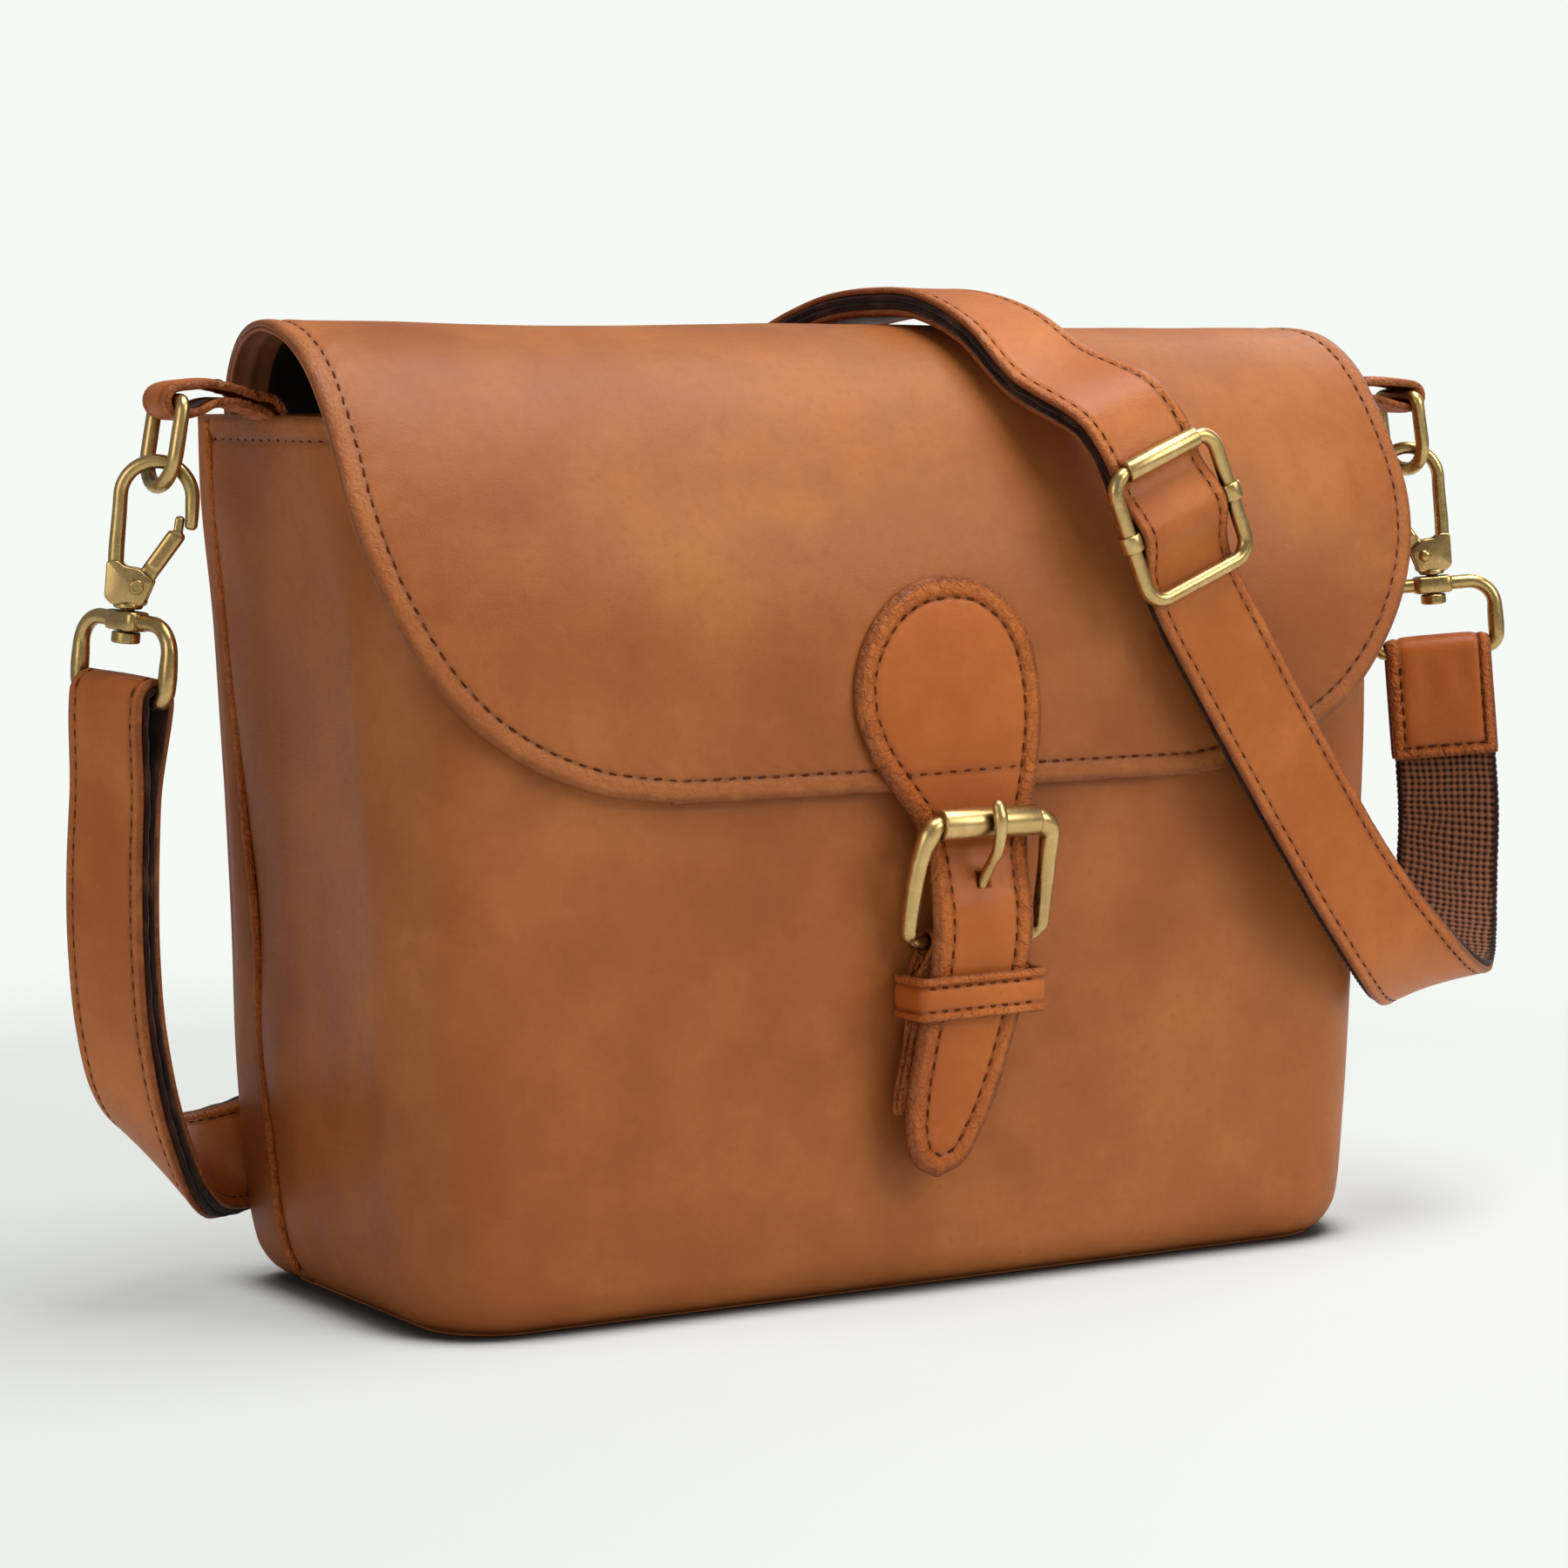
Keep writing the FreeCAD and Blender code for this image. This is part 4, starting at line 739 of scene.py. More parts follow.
def cloth(name, dark, light):
    m = Shader(name)
    color = m.mix(m.ramp(m.noise(scale=200.0, detail=4.0), span=(0.3, 0.7)), dark, light)
    weave = m.times(m.bands("X", scale=560.0), m.bands("Z", scale=560.0))
    m.set(Base_Color=color, Roughness=0.9, Specular_IOR_Level=0.15,
          Normal=m.bump(weave, strength=0.4, distance=0.0002))
    return m.mat


def flap_under():
    """Dark cloth field with a tan leather border."""
    m = Shader("flap_underside")
    dark = m.mix(m.ramp(m.noise(scale=300.0, detail=4.0), span=(0.3, 0.7)),
                 srgb(24, 20, 18), srgb(40, 33, 28))
    tan = m.mix(m.ramp(m.noise(scale=60.0, detail=4.0), span=(0.3, 0.7)),
                srgb(150, 86, 50), srgb(178, 108, 66))
    color = m.mix(m.ramp(m.attr("edge"), span=(0.30, 0.36)), dark, tan)
    m.set(Base_Color=color, Roughness=0.7,
          Normal=m.bump(m.noise(scale=900.0), strength=0.3, distance=0.0002))
    return m.mat


def webbing():
    m = Shader("webbing")
    fuzz = m.noise(scale=700.0, detail=4.0, rough=0.7)
    height = m.plus(m.attr("weave"), m.times(m.math("SUBTRACT", fuzz, 0.5), 0.35))
    color = m.mix(m.ramp(height, span=(0.10, 0.85)), srgb(38, 17, 8), srgb(134, 88, 62))
    m.set(Base_Color=color, Roughness=0.9, Specular_IOR_Level=0.1, Sheen_Weight=0.15,
          Normal=m.bump(m.noise(scale=2600.0), strength=0.5, distance=0.00012))
    return m.mat


def brushed_metal(name, base, dark, light):
    rough = 0.27
    m = Shader(name)
    broad = m.noise(scale=38.0, rough=0.5)
    fine = m.noise(scale=420.0, detail=4.0, rough=0.6)
    brush = m.noise(scale=1.0, rough=0.6,
                    vec=m.mapping(scale=(2600, 500, 700), rot=(0.3, 0.5, 0.1)))
    color = m.mix(m.ramp(broad, span=(0.30, 0.70)), m.mix(0.45, base, dark), base)
    color = m.mix(m.ramp(fine, span=(0.45, 0.75), to=(0.0, 0.30)), color, light)
    # Tarnish gathers in the recesses.
    recess = m.ramp(m.occlusion(distance=0.004, samples=6), span=(0.20, 0.90), to=(0.85, 0.0))
    color = m.mix(recess, color, srgb(50, 34, 14))
    roughness = m.plus(m.ramp(broad, span=(0.2, 0.8), to=(rough - 0.03, rough + 0.06)),
                       m.ramp(brush, span=(0.3, 0.7), to=(-0.03, 0.05)))
    scratches = m.bump(brush, strength=0.08, distance=0.00005)
    m.set(Base_Color=color, Metallic=1.0, Roughness=roughness,
          Normal=m.bump(fine, strength=0.06, distance=0.00006, normal=scratches))
    return m.mat


LEATHER = leather("leather_body", base=srgb(163, 92, 42), dark=srgb(134, 68, 26),
                  light=srgb(184, 114, 56), rough=0.46, mottling=0.42)
TRIM = leather("leather_trim", base=srgb(180, 94, 32), dark=srgb(152, 73, 22),
               light=srgb(202, 118, 50), edge_dark=0.7, crease=2.0)
STRAP = leather("leather_strap", base=srgb(180, 98, 38), dark=srgb(152, 76, 26),
                light=srgb(206, 124, 60), edge_dark=0.75, crease=1.3)
THREAD = thread("thread_brown", dark=srgb(74, 32, 12), light=srgb(106, 52, 22))
LINING = cloth("lining_cloth", dark=srgb(24, 20, 18), light=srgb(38, 31, 27))
BOARD = cloth("base_board", dark=srgb(120, 104, 84), light=srgb(138, 122, 100))
UNDER = flap_under()
WEB = webbing()
BRASS = brushed_metal("antique_brass", base=srgb(204, 172, 112), dark=srgb(158, 124, 70),
                      light=srgb(236, 214, 162))
SNAP_METAL = brushed_metal("snap_metal", base=srgb(170, 168, 160), dark=srgb(120, 116, 108),
                           light=srgb(210, 208, 200))

# ------------------------------------------------------------------ body panels
bulge_noise = Waves(11, 3, 95.0)
crease_noise = Waves(12, 3, 38.0)


def section(z):
    """Half width, front y, back y, front radius and back radius at height z."""
    return pchip(BODY[:, 0], BODY[:, 1:], z)


def seam_shift(z):
    """The side seam leans forward and wanders a little on its way down."""
    lean = -13.0 * (1 - np.clip(z / 190.0, 0, 1))
    wander = 0.9 * np.sin(z * 0.052 + 0.9) * ease(50, 120, z) * (1 - 0.6 * ease(180, 200, z))
    return lean + wander + 0.4 * np.sin(z * 0.13)


def side_ripple(z):
    return np.sin(z * 0.115 + 1.2 * np.sin(z * 0.031))


def half_wrap(q, half, face_y, seam_y, radius):
    """Outline round a face towards -y, and its normals. q runs through five parts:
    0-1 left side, 1-2 left corner, 2-3 face, 3-4 right corner, 4-5 right side."""
    part = np.floor(np.clip(q, 0, 4.999999)).astype(int)
    t = q - part
    cos, sin = np.cos(t * np.pi / 2), np.sin(t * np.pi / 2)
    zero = 0 * t
    corner_y = face_y + radius

    def choose(*values):
        return np.select([part == i for i in range(5)], values)

    x = choose(-half, -half + radius - radius * cos, -half + radius + t * 2 * (half - radius),
               half - radius + radius * sin, half)
    y = choose(seam_y + (corner_y - seam_y) * t, corner_y - radius * sin, face_y + zero,
               corner_y - radius * cos, corner_y + (seam_y - corner_y) * t)
    nx = choose(zero - 1, -cos, zero, sin, zero + 1)
    ny = choose(zero, -sin, zero - 1, -cos, zero)
    return x, y, nx, ny


def front_surf(q, z):
    """Front panel with the sides up to the seams; q as in half_wrap."""
    half, front_y, back_y, radius, _ = np.moveaxis(section(z), -1, 0)
    seam = back_y - SEAM - 0.9 + seam_shift(z)
    x, y, nx, ny = half_wrap(q, half, front_y, seam, radius)
    free = ease(2, 30, z) * (1 - ease(170, 200, z))     # away from base and rim
    across = np.clip((x + half) / (2 * half), 0, 1)
    deep = np.clip((y - front_y) / np.maximum(seam + 7.0 - front_y, 1), 0, 1)
    front, side = np.abs(ny), np.abs(nx)
    d = front * (0.7 * np.sin(np.pi * across) * free + 0.28 * bulge_noise(x, y, z) * free)
    # Sides are hollow, with a swell ahead of the seam.
    hollow = -1.5 * np.sin(np.pi * np.clip((deep - 0.1) / 0.9, 0, 1))
    d += side * free * (hollow + 0.9 * bell(deep, 0.80, 0.10)
                        + 0.45 * bulge_noise(x * 0.6, y * 1.4, z))
    # Soft ripples towards the seam, and short sags above the base.
    d += bell(deep, 0.84, 0.09) * side * 0.75 * side_ripple(z) * ease(4, 16, z)
    d -= side * 0.55 * bell(y, seam, 1.3)
    d += 0.22 * crease_noise(x, y, z * 0.6) * bell(z, 16, 12.0)
    # Hem folded over at the rim, pressed down along its stitch line.
    d += 0.55 * ease(197.0, 198.6, z) - 0.35 * bell(z, HEM_Z, 0.7)
    d -= 0.10 * bell(z, HEM_Z, 1.3) * beat(x + y, HEM_PITCH)
    d += 0.25 * np.sin((y + x * 0.3) * 0.33) * ease(192, 200, z) * side
    return points(x + nx * d, y + ny * d, z)


def back_surf(q, z):
    """Back panel: half_wrap turned half round, so q starts on the right side."""
    half, _, back_y, _, radius = np.moveaxis(section(z), -1, 0)
    radius = radius * 0.42
    seam = back_y - SEAM + 0.9 + seam_shift(z)
    x, y, nx, ny = (-a for a in half_wrap(q, half, -back_y, -seam, radius))
    free = ease(2, 30, z) * (1 - ease(150, 180, z))
    across = np.clip((x + half) / (2 * half), 0, 1)
    d = np.abs(ny) * (0.5 * np.sin(np.pi * across) * free
                      + 0.3 * bulge_noise(x, y + 40, z) * free)
    d += 0.2 * np.abs(nx) * side_ripple(z)
    # The strip ahead of the corner stands a little proud and sags in folds.
    mid = np.clip((y - seam) / np.maximum(back_y - radius - seam, 1), 0, 1)
    folds = np.sin(z * 0.061 + 2.2 * mid + 1.1 * np.sin(z * 0.023)) * np.sin(np.pi * mid)
    d += np.abs(nx) * free * (0.75 * np.sin(np.pi * mid) + 0.45 * folds)
    return points(x + nx * d, y + ny * d, z)


def part_steps(counts):
    """Values of q with the given number of steps in each part of the outline."""
    steps = [i + np.linspace(0, 1, n, endpoint=False) for i, n in enumerate(counts)]
    return np.concatenate(steps + [[len(counts) - 1e-9]])


panel_z = np.concatenate([np.linspace(1.1, 14, 10, endpoint=False),
                          np.linspace(14, 190, 88, endpoint=False), np.linspace(190, RIM_Z, 15)])
Z, Q = np.meshgrid(panel_z, part_steps([34, 16, 108, 16, 34]))
# The hem's stitch line gets painted shade in its groove.
part = sheet(front_surf(Q, Z), PANEL_T,
             attrs={"edge": near_edge(RIM_Z - Z, 6.0), "stitch_shade": bell(Z, HEM_Z, 0.8) * 0.6})
make("front_panel_leather", flare(part), LEATHER, "bag", ["front_panel"])

Z, Q = np.meshgrid(panel_z, part_steps([5, 10, 96, 10, 5]))
part = sheet(back_surf(Q, Z), PANEL_T, attrs={"edge": near_edge(RIM_Z - Z, 6.0)})
make("back_panel_leather", flare(part), LEATHER, "bag", ["back_panel"])


def hem_stitches():
    """Stitch row along the hem of the front panel and sides."""
    q = np.linspace(0.02, 4.98, 900)

    def hem(q):
        return front_surf(q, np.full_like(q, HEM_Z))

    lengths = arclen(hem(q))
    places = even_places(lengths[-1], HEM_PITCH)
    before, at, after = (hem(np.interp(places + step, lengths, q)) for step in (-0.35, 0, 0.35))
    along = unit(after - before)
    return stitches(at, along, np.cross(along, Z_AXIS), length=2.5, radius=0.36, lift=0.05)


make("rim_stitches", flare(hem_stitches()), THREAD, "bag")


# ------------------------------------------------------------------ lining, facing, base, welts
def body_loop(z, inset):
    """Closed rounded outline of the body, counter-clockwise from the right side's front."""
    half, front_y, back_y, front_r, back_r = section(z)
    half, front_y, back_y = half - inset, front_y + inset, back_y - inset
    front_r, back_r = max(front_r - inset, 1.5), max(back_r - inset, 1.5)
    # corner centre, radius, start angle, steps of the straight before it, steps of the corner
    corners = (((half - back_r, back_y - back_r), back_r, 0, 30, 6),
               ((back_r - half, back_y - back_r), back_r, 90, 60, 6),
               ((front_r - half, front_y + front_r), front_r, 180, 30, 10),
               ((half - front_r, front_y + front_r), front_r, 270, 60, 10))
    last = np.array([half, front_y + front_r])
    pieces = []
    for centre, radius, angle, straight_steps, corner_steps in corners:
        corner = arc_pts(centre, radius, angle, angle + 90, corner_steps + 1)
        pieces += [np.linspace(last, corner[0], straight_steps, endpoint=False), corner[:-1]]
        last = corner[-1]
    loop = np.vstack(pieces)
    return np.c_[loop, np.full(len(loop), z)]


def lining_part():
    """Walls with slack folds, and a floor."""
    floor_z = 5.0
    slack = Waves(21, 3, 60.0)
    heights = np.concatenate([np.linspace(floor_z, 190, 62, endpoint=False),
                              np.linspace(190, 201.4, 6)])
    grid = np.stack([body_loop(z, 2.35) for z in heights], 1)
    x, y, z = np.moveaxis(grid, -1, 0)
    inward = unit((np.array([0, -2.0, 0]) - grid) * np.array([1, 1, 0]))
    sag = (0.35 + 0.35 * slack(x, y, z)) * ease(6, 30, z) * (1 - ease(180, 198, z))
    wall = sheet(grid + inward * sag[..., None], 0.55, wrap=True)
    x, y, _ = body_loop(floor_z, 2.6).T
    rings = [points(x * f, -0.5 + (y + 0.5) * f, 4.9 + 0.5 * (1 - f))
             for f in np.linspace(0.02, 1.0, 16)]
    floor = sheet(np.stack(rings, 1), 0.5, wrap=True, flip=True)
    verts, faces, _ = merge([wall, floor])
    return verts, faces, {}


make("lining", flare(lining_part()), LINING, "bag", ["bag_lining"])

# Leather facing inside the rim.
facing_z = np.linspace(178.2, FACING_TOP, 14)
part = sheet(np.stack([body_loop(z, 3.1) for z in facing_z], 1), 1.2, wrap=True,
             attrs={"edge": near_edge(FACING_TOP - facing_z, 4.0)})
make("rim_facing_leather", flare(part), LEATHER, "bag", ["rim_facing"])

# Base: a flat leather sheet resting on z = 0.
scales = np.concatenate([np.linspace(0.02, 0.9, 18), np.linspace(0.93, 1.0, 6)])
base_x, base_y, _ = body_loop(0.6, 0.8).T
rings = [points(base_x * f, base_y * f, 0.0) for f in scales]
part = sheet(np.stack(rings, 1), 2.2, normals=-Z_AXIS, wrap=True, flip=True)
make("base_leather", part, LEATHER, "bag", ["base_panel"])

# Round welts in the side seams.
for side, (sign, _, _) in ANCHORS.items():
    z = np.linspace(4.5, 200.6, 150)
    half, _, back_y, _, _ = section(z).T
    path = points(sign * (half - 0.27 + 0.11547 * side_ripple(z)),
                  back_y - SEAM + seam_shift(z), z)
    verts, faces, _ = tube(path, 1.05 + 0.08 * np.sin(z * 0.9))
    part = verts, faces, {"edge": np.full(len(verts), 0.55)}
    make("side_welt_%s_leather" % side, flare(part), TRIM, "bag", ["side_welt_" + side])

# ------------------------------------------------------------------ the flap
# The flap is drawn in x and s, the length along its profile from the root.
flap_noise = Waves(31, 2, 90.0)
flap_fine = Waves(32, 2, 30.0)
profile = spline(FLAP_PROFILE, 24)
profile_len = arclen(profile)
END_S = profile_len[-1]


def profile_row(z, excluded):
    return int(np.argmin(np.abs(profile[:, 1] - z) + excluded * 1e3))


front_row = profile_row(FLAP_OUTLINE[-1, 1], profile[:, 0] > 0)
SIDE_S = profile_len[front_row]         # top of the outlined front part
HINGE_S = profile_len[profile_row(203.0, profile[:, 0] < 0)]
CREST_S = profile_len[int(np.argmax(profile[:, 1]))]

outline = spline(FLAP_OUTLINE, 30)
outline_s = np.interp(outline[:, 1], profile[front_row:, 1][::-1], profile_len[front_row:][::-1])
outline = np.c_[outline[:, 0], outline_s][::-1]     # x, s from the side to the lower edge


def flap_half_width(s):
    upper = 134.0 + (145.0 - 134.0) * ease(HINGE_S - 4, CREST_S + 14, s)
    return np.where(s < SIDE_S, upper, np.interp(s, outline[:, 1], outline[:, 0]))


def flap_border():
    """Border in (x, s): left side from the root, lower edge, right side back to the root."""
    s = np.linspace(0, SIDE_S, 160, endpoint=False)
    right = np.r_[np.c_[flap_half_width(s), s], outline]
    lower = np.linspace(-LOWER_HALF, LOWER_HALF, 80)[1:-1]
    return np.r_[right * [-1, 1], np.c_[lower, np.full(78, END_S)], right[::-1]]


def profile_at(s):
    return np.interp(s, profile_len, profile[:, 0]), np.interp(s, profile_len, profile[:, 1])


def flap_surf(x, s):
    y, z = profile_at(s)
    y0, z0 = profile_at(s - 0.8)
    y1, z1 = profile_at(s + 0.8)
    length = np.maximum(np.hypot(y1 - y0, z1 - z0), 1e-9)
    ny, nz = (z1 - z0) / length, -(y1 - y0) / length
    away = np.where(ny * y + nz * (z - 150.0) > 0, 1.0, -1.0)
    ax = np.abs(x)
    # Sides droop ahead of the crest.
    d = -5.6 * np.clip((ax - 92.0) / 53.0, 0, 1.3) ** 2.2 * ease(CREST_S, SIDE_S + 10, s)
    d += (0.35 * flap_noise(x, s) * ease(HINGE_S, HINGE_S + 40, s)
          * (1 - 0.5 * ease(END_S - 30, END_S, s)))
    d += 0.06 * flap_fine(x, s)
    # A gentle hollow where the front starts, and slightly lifted lower corners.
    d -= 0.7 * bell(s, SIDE_S + 8, 22.0) * (1 - np.clip(ax / 140.0, 0, 1) ** 2)
    d += 0.8 * ease(96, 140, ax) * ease(SIDE_S + 20, END_S, s)
    return points(x, y + away * ny * d, z + away * nz * d)


def flap_face(x, s):
    """Points on the flap and their outward normals."""
    e = 0.5
    p = flap_surf(x, s)
    n = unit(np.cross(flap_surf(x + e, s) - flap_surf(x - e, s),
                      flap_surf(x, s + e) - flap_surf(x, s - e)))
    n[n[..., 1] * p[..., 1] + n[..., 2] * (p[..., 2] - 150) < 0] *= -1
    return p, n


def hinge_weight(s):
    return ease(HINGE_S - 4.5, HINGE_S + 6.0, s)


def row_places(line, lengths, pitch):
    """Evenly spaced places on a line, and places just ahead of them."""
    places = even_places(lengths[-1], pitch)
    return interp_rows(places, lengths, line), interp_rows(places + 0.3, lengths, line)


def surface_stitches(surface, places, ahead, **sizes):
    p, normals = surface(*places.T)
    p_ahead, _ = surface(*ahead.T)
    return stitches(p, p_ahead - p, normals, **sizes)


border = flap_border()
rows = resample(outline, 1.3)[:, 1]
rows[-1] = END_S - 0.01
rows = np.concatenate([np.linspace(0, SIDE_S, 78, endpoint=False), rows])
columns = np.concatenate([np.linspace(-1, -0.90, 18, endpoint=False),
                          np.linspace(-0.90, 0.90, 120, endpoint=False),
                          np.linspace(0.90, 1.0, 19)])
S, column = np.meshgrid(rows, columns)
X = column * np.where(S > END_S - 0.5, LOWER_HALF, flap_half_width(S))
D, along = border_distance(X, S, border)
grid = flap_surf(X, S)
normals = -grid_normals(grid)
# Stitch groove, raised and rounded border, puckers inside the stitch row.
relief = -0.34 * bell(D, FLAP_INSET, 0.9) * (0.8 + 0.35 * beat(along, FLAP_PITCH))
relief += 0.07 * bell(D, 2.2, 1.2) - 0.16 * bell(D, 0, 0.6)
pucker = np.cos(2 * np.pi * along / (2 * FLAP_PITCH) + 0.6 * D + 1.4 * np.sin(along / 23.0))
relief += 0.11 * pucker * bell(D, FLAP_INSET + 2.4, 2.6)
grid = grid + normals * relief[..., None]
# Painted shade at the stitch holes and in the groove of the stitch row.
holes = bell(D, FLAP_INSET, 0.5) * (0.66 - 0.30 * beat(along, FLAP_PITCH))
part = sheet(grid, 1.6, normals, flip=True,
             attrs={"edge": near_edge(D, 6.5), "stitch_shade": holes, "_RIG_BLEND": hinge_weight(S)})
make("flap_cover", part, LEATHER, None, ["flap_leather", "flap_root_band"],
     hinge=FLAP_HINGE)

# Underside of the flap, from the hinge on.
under = rows > HINGE_S - 1.0
part = sheet((grid - normals * 1.66)[:, under], 0.85, normals[:, under], flip=True, edge_rings=2,
             attrs={"edge": near_edge(D[:, under], 14.0),
                    "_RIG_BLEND": hinge_weight(S[:, under])})
make("flap_underside", part, UNDER, None, ["flap_lining"], hinge=FLAP_HINGE)

line = inset_line(border, -FLAP_INSET)
places, ahead = row_places(line, arclen(line), FLAP_PITCH)
part = surface_stitches(flap_face, places, ahead, length=2.75, radius=0.36, lift=-0.30, seed=3)
make("flap_stitches", part, THREAD, hinge=FLAP_HINGE,
     weights=np.repeat(hinge_weight(places[:, 1]), len(STITCH_VERTS)))

# ------------------------------------------------------------------ closure strap
tab_back = spline(TAB_BACK, 20)[::-1]
tab_left, tab_right = spline(TAB_LEFT, 30), spline(TAB_RIGHT, 30)
tab_border = np.r_[tab_left, tab_right[1:]]
tab_noise = Waves(41, 2, 26.0)


def tab_y(z):
    return np.interp(z, tab_back[:, 1], tab_back[:, 0])


def tab_face(x, z):
    """Outer face of the closure strap and its normals."""
    e = 0.6
    n = unit(points(0.0, -1.0, (tab_y(z + e) - tab_y(z - e)) / (2 * e)))
    d = TAB_T + 0.12 * tab_noise(x, z)
    # Creases where the strap bends over the roller.
    d = d - 0.35 * bell(z - 0.10 * x, 104.5, 0.9) - 0.25 * bell(z + 0.08 * x, 101.2, 0.7)
    d = d - 0.18 * bell(z - 0.05 * x, 93.0, 0.8)
    return points(x, tab_y(z), z) + n * d[..., None], n


def tab_edge_x(curve, z):
    curve = curve[np.argsort(curve[:, 1])]
    return np.interp(z, curve[:, 1], curve[:, 0])


def tab_part():
    top, bottom = 165.15, 28.65
    # Rows are denser at both rounded ends.
    t = np.concatenate([np.linspace(0, 0.06, 26, endpoint=False),
                        np.linspace(0.06, 0.94, 130, endpoint=False),
                        np.linspace(0.94, 1.0, 26)])
    row_z = top - (top - bottom) * (0.65 * t + 0.35 * (0.5 - 0.5 * np.cos(np.pi * t)))
    column = np.concatenate([np.linspace(-1, -0.7, 9, endpoint=False),
                             np.linspace(-0.7, 0.7, 26, endpoint=False),
                             np.linspace(0.7, 1, 10)])
    Z, column = np.meshgrid(row_z, column)
    left, right = tab_edge_x(tab_left, row_z), tab_edge_x(tab_right, row_z)
    X = (left + right) / 2 + column * (right - left) / 2
    D, along = border_distance(X, Z, tab_border)
    grid, normals = tab_face(X, Z)
    cross_row = bell(Z - 0.03 * X, CROSS_ROW_Z, 0.7) * (D > TAB_INSET)
    relief = -0.34 * bell(D, TAB_INSET, 0.75) * (0.8 + 0.35 * beat(along, TAB_PITCH))
    relief += 0.18 * bell(D, 2.2, 1.0) - 0.35 * bell(D, 0, 0.7) - 0.25 * cross_row
    # The border puckers between the stitches. Rows: height, pitch, sway, sway length, slope,
    # distance from the border, width.
    for gain, pitch, sway, sway_len, slope, centre, width in (
            (0.16, 0.62, 1.7, 7.3, 0.5, 2.1, 1.3),
            (0.07, 0.9, 1.3, 5.1, 0.8, TAB_INSET + 2.0, 1.3)):
        phase = 2 * np.pi * along / (pitch * TAB_PITCH)
        relief += (gain * np.cos(phase + sway * np.sin(along / sway_len) + slope * D)
                   * bell(D, centre, width))
    grid = grid + normals * relief[..., None]
    x, z = cell_mid(X), cell_mid(Z)
    prong_slot = (np.abs(x - BUCKLE_X) < 2.1) & (z > 93.6) & (z < 98.4)
    # Painted shade at the stitch holes, in the border groove and along the cross row.
    holes = bell(D, TAB_INSET, 0.5) * (0.5 - 0.45 * beat(along, TAB_PITCH)) + 0.5 * cross_row
    return sheet(grid, 2.1, normals, flip=True, keep=~prong_slot, edge_rings=5,
                 attrs={"edge": near_edge(D, 5.0), "stitch_shade": holes})


make("closure_strap_leather", tab_part(), TRIM, "flap", ["closure_strap"])


def tab_stitches(line, seed):
    places, ahead = row_places(line, arclen(tab_face(*line.T)[0]), TAB_PITCH)
    return surface_stitches(tab_face, places, ahead, length=2.5, radius=0.34, lift=-0.24,
                            seed=seed)


cross_x = np.linspace(-14.0, 18.8, 60)
part = merge([tab_stitches(inset_line(tab_border, TAB_INSET), seed=5),
              tab_stitches(np.c_[cross_x, CROSS_ROW_Z + 0.03 * cross_x], seed=6)])
make("closure_stitches", part, THREAD, "flap")


def chape_part():
    """Leather folded round the buckle's lower bar, with two legs below it."""
    path = np.vstack([[(-55.0, 43.0), (-54.4, 60.0), (-54.1, 70.0), (-53.9, 76.0)],
                      arc_pts((BAR_Y, BAR_Z), 2.9, 0, 180, 13),
                      [(-58.3, 77.0), (-57.2, 71.0), (-56.9, 60.0), (-56.8, 44.0)]])
    path = resample(spline(path, 8), 0.8)
    y, z = path.T
    along = unit(np.gradient(path, axis=0))
    normals = points(0.0, along[:, 1], -along[:, 0])
    across = np.linspace(-1, 1, 30)[:, None]
    lower = 1 - ease(72, 84, z)
    half = 12.0 + 1.0 * lower - 1.2 * (1 - ease(50, 66, z))
    X = 5.4 - 3.2 * lower - 5.0 * (1 - ease(44, 66, z)) + across * half
    grid = points(X, y, z) + normals * (0.65 + 0.06 * tab_noise(X, z))[..., None]
    notch = ((np.abs(cell_mid(X) - BUCKLE_X) < 2.8)
             & (cell_mid(grid[..., 2]) > BAR_Z - 4.0))
    return sheet(grid, 1.3, normals, flip=True, keep=~notch,
                 attrs={"edge": near_edge(half * (1 - np.abs(across)), 4.0)})


make("chape_leather", chape_part(), TRIM, "flap", ["closure_chape"])

# Keeper: flat loop round the strap's lower end and the chape.
KEEPER_X, KEEPER_Y, KEEPER_Z = (-13.3, 21.4), (-64.4, -51.2), (64.9, 75.2)
KEEPER_R = 2.2
KEEPER_INSET = 2.5
KEEPER_TILT = 0.015


def keeper_part():
    (x0, x1), (y0, y1), (z0, z1), r = KEEPER_X, KEEPER_Y, KEEPER_Z, KEEPER_R
    corners = ((x1 - r, y0 + r, -90), (x1 - r, y1 - r, 0), (x0 + r, y1 - r, 90),
               (x0 + r, y0 + r, 180))
    loop = np.vstack([arc_pts((x, y), r, a, a + 90, 8) for x, y, a in corners])
    loop = resample(np.vstack([loop, loop[:1]]), 0.8)[:-1]
    z = np.concatenate([np.linspace(z0 + 0.6, z0 + 2.6, 5, endpoint=False),
                        np.linspace(z0 + 2.6, z1 - 2.6, 8, endpoint=False),
                        np.linspace(z1 - 2.6, z1 - 0.6, 6)])
    d = np.minimum(z - z0, z1 - z)
    x, y = loop[:, :1], loop[:, 1:]
    grid = points(x, y, z + KEEPER_TILT * (x - 4))
    normals = grid_normals(grid, True)
    relief = (0.12 * bell(d, 0.9, 0.8) - 0.28 * bell(d, KEEPER_INSET, 0.5)
              + 0.10 * ease(3, 5, d))
    # Painted shade in the keeper's stitch grooves.
    return sheet(grid + normals * relief[:, None], 1.4, normals, wrap=True, edge_rings=4,
                 attrs={"edge": near_edge(d, 2.6), "stitch_shade": 0.6 * bell(d, KEEPER_INSET, 0.4)})


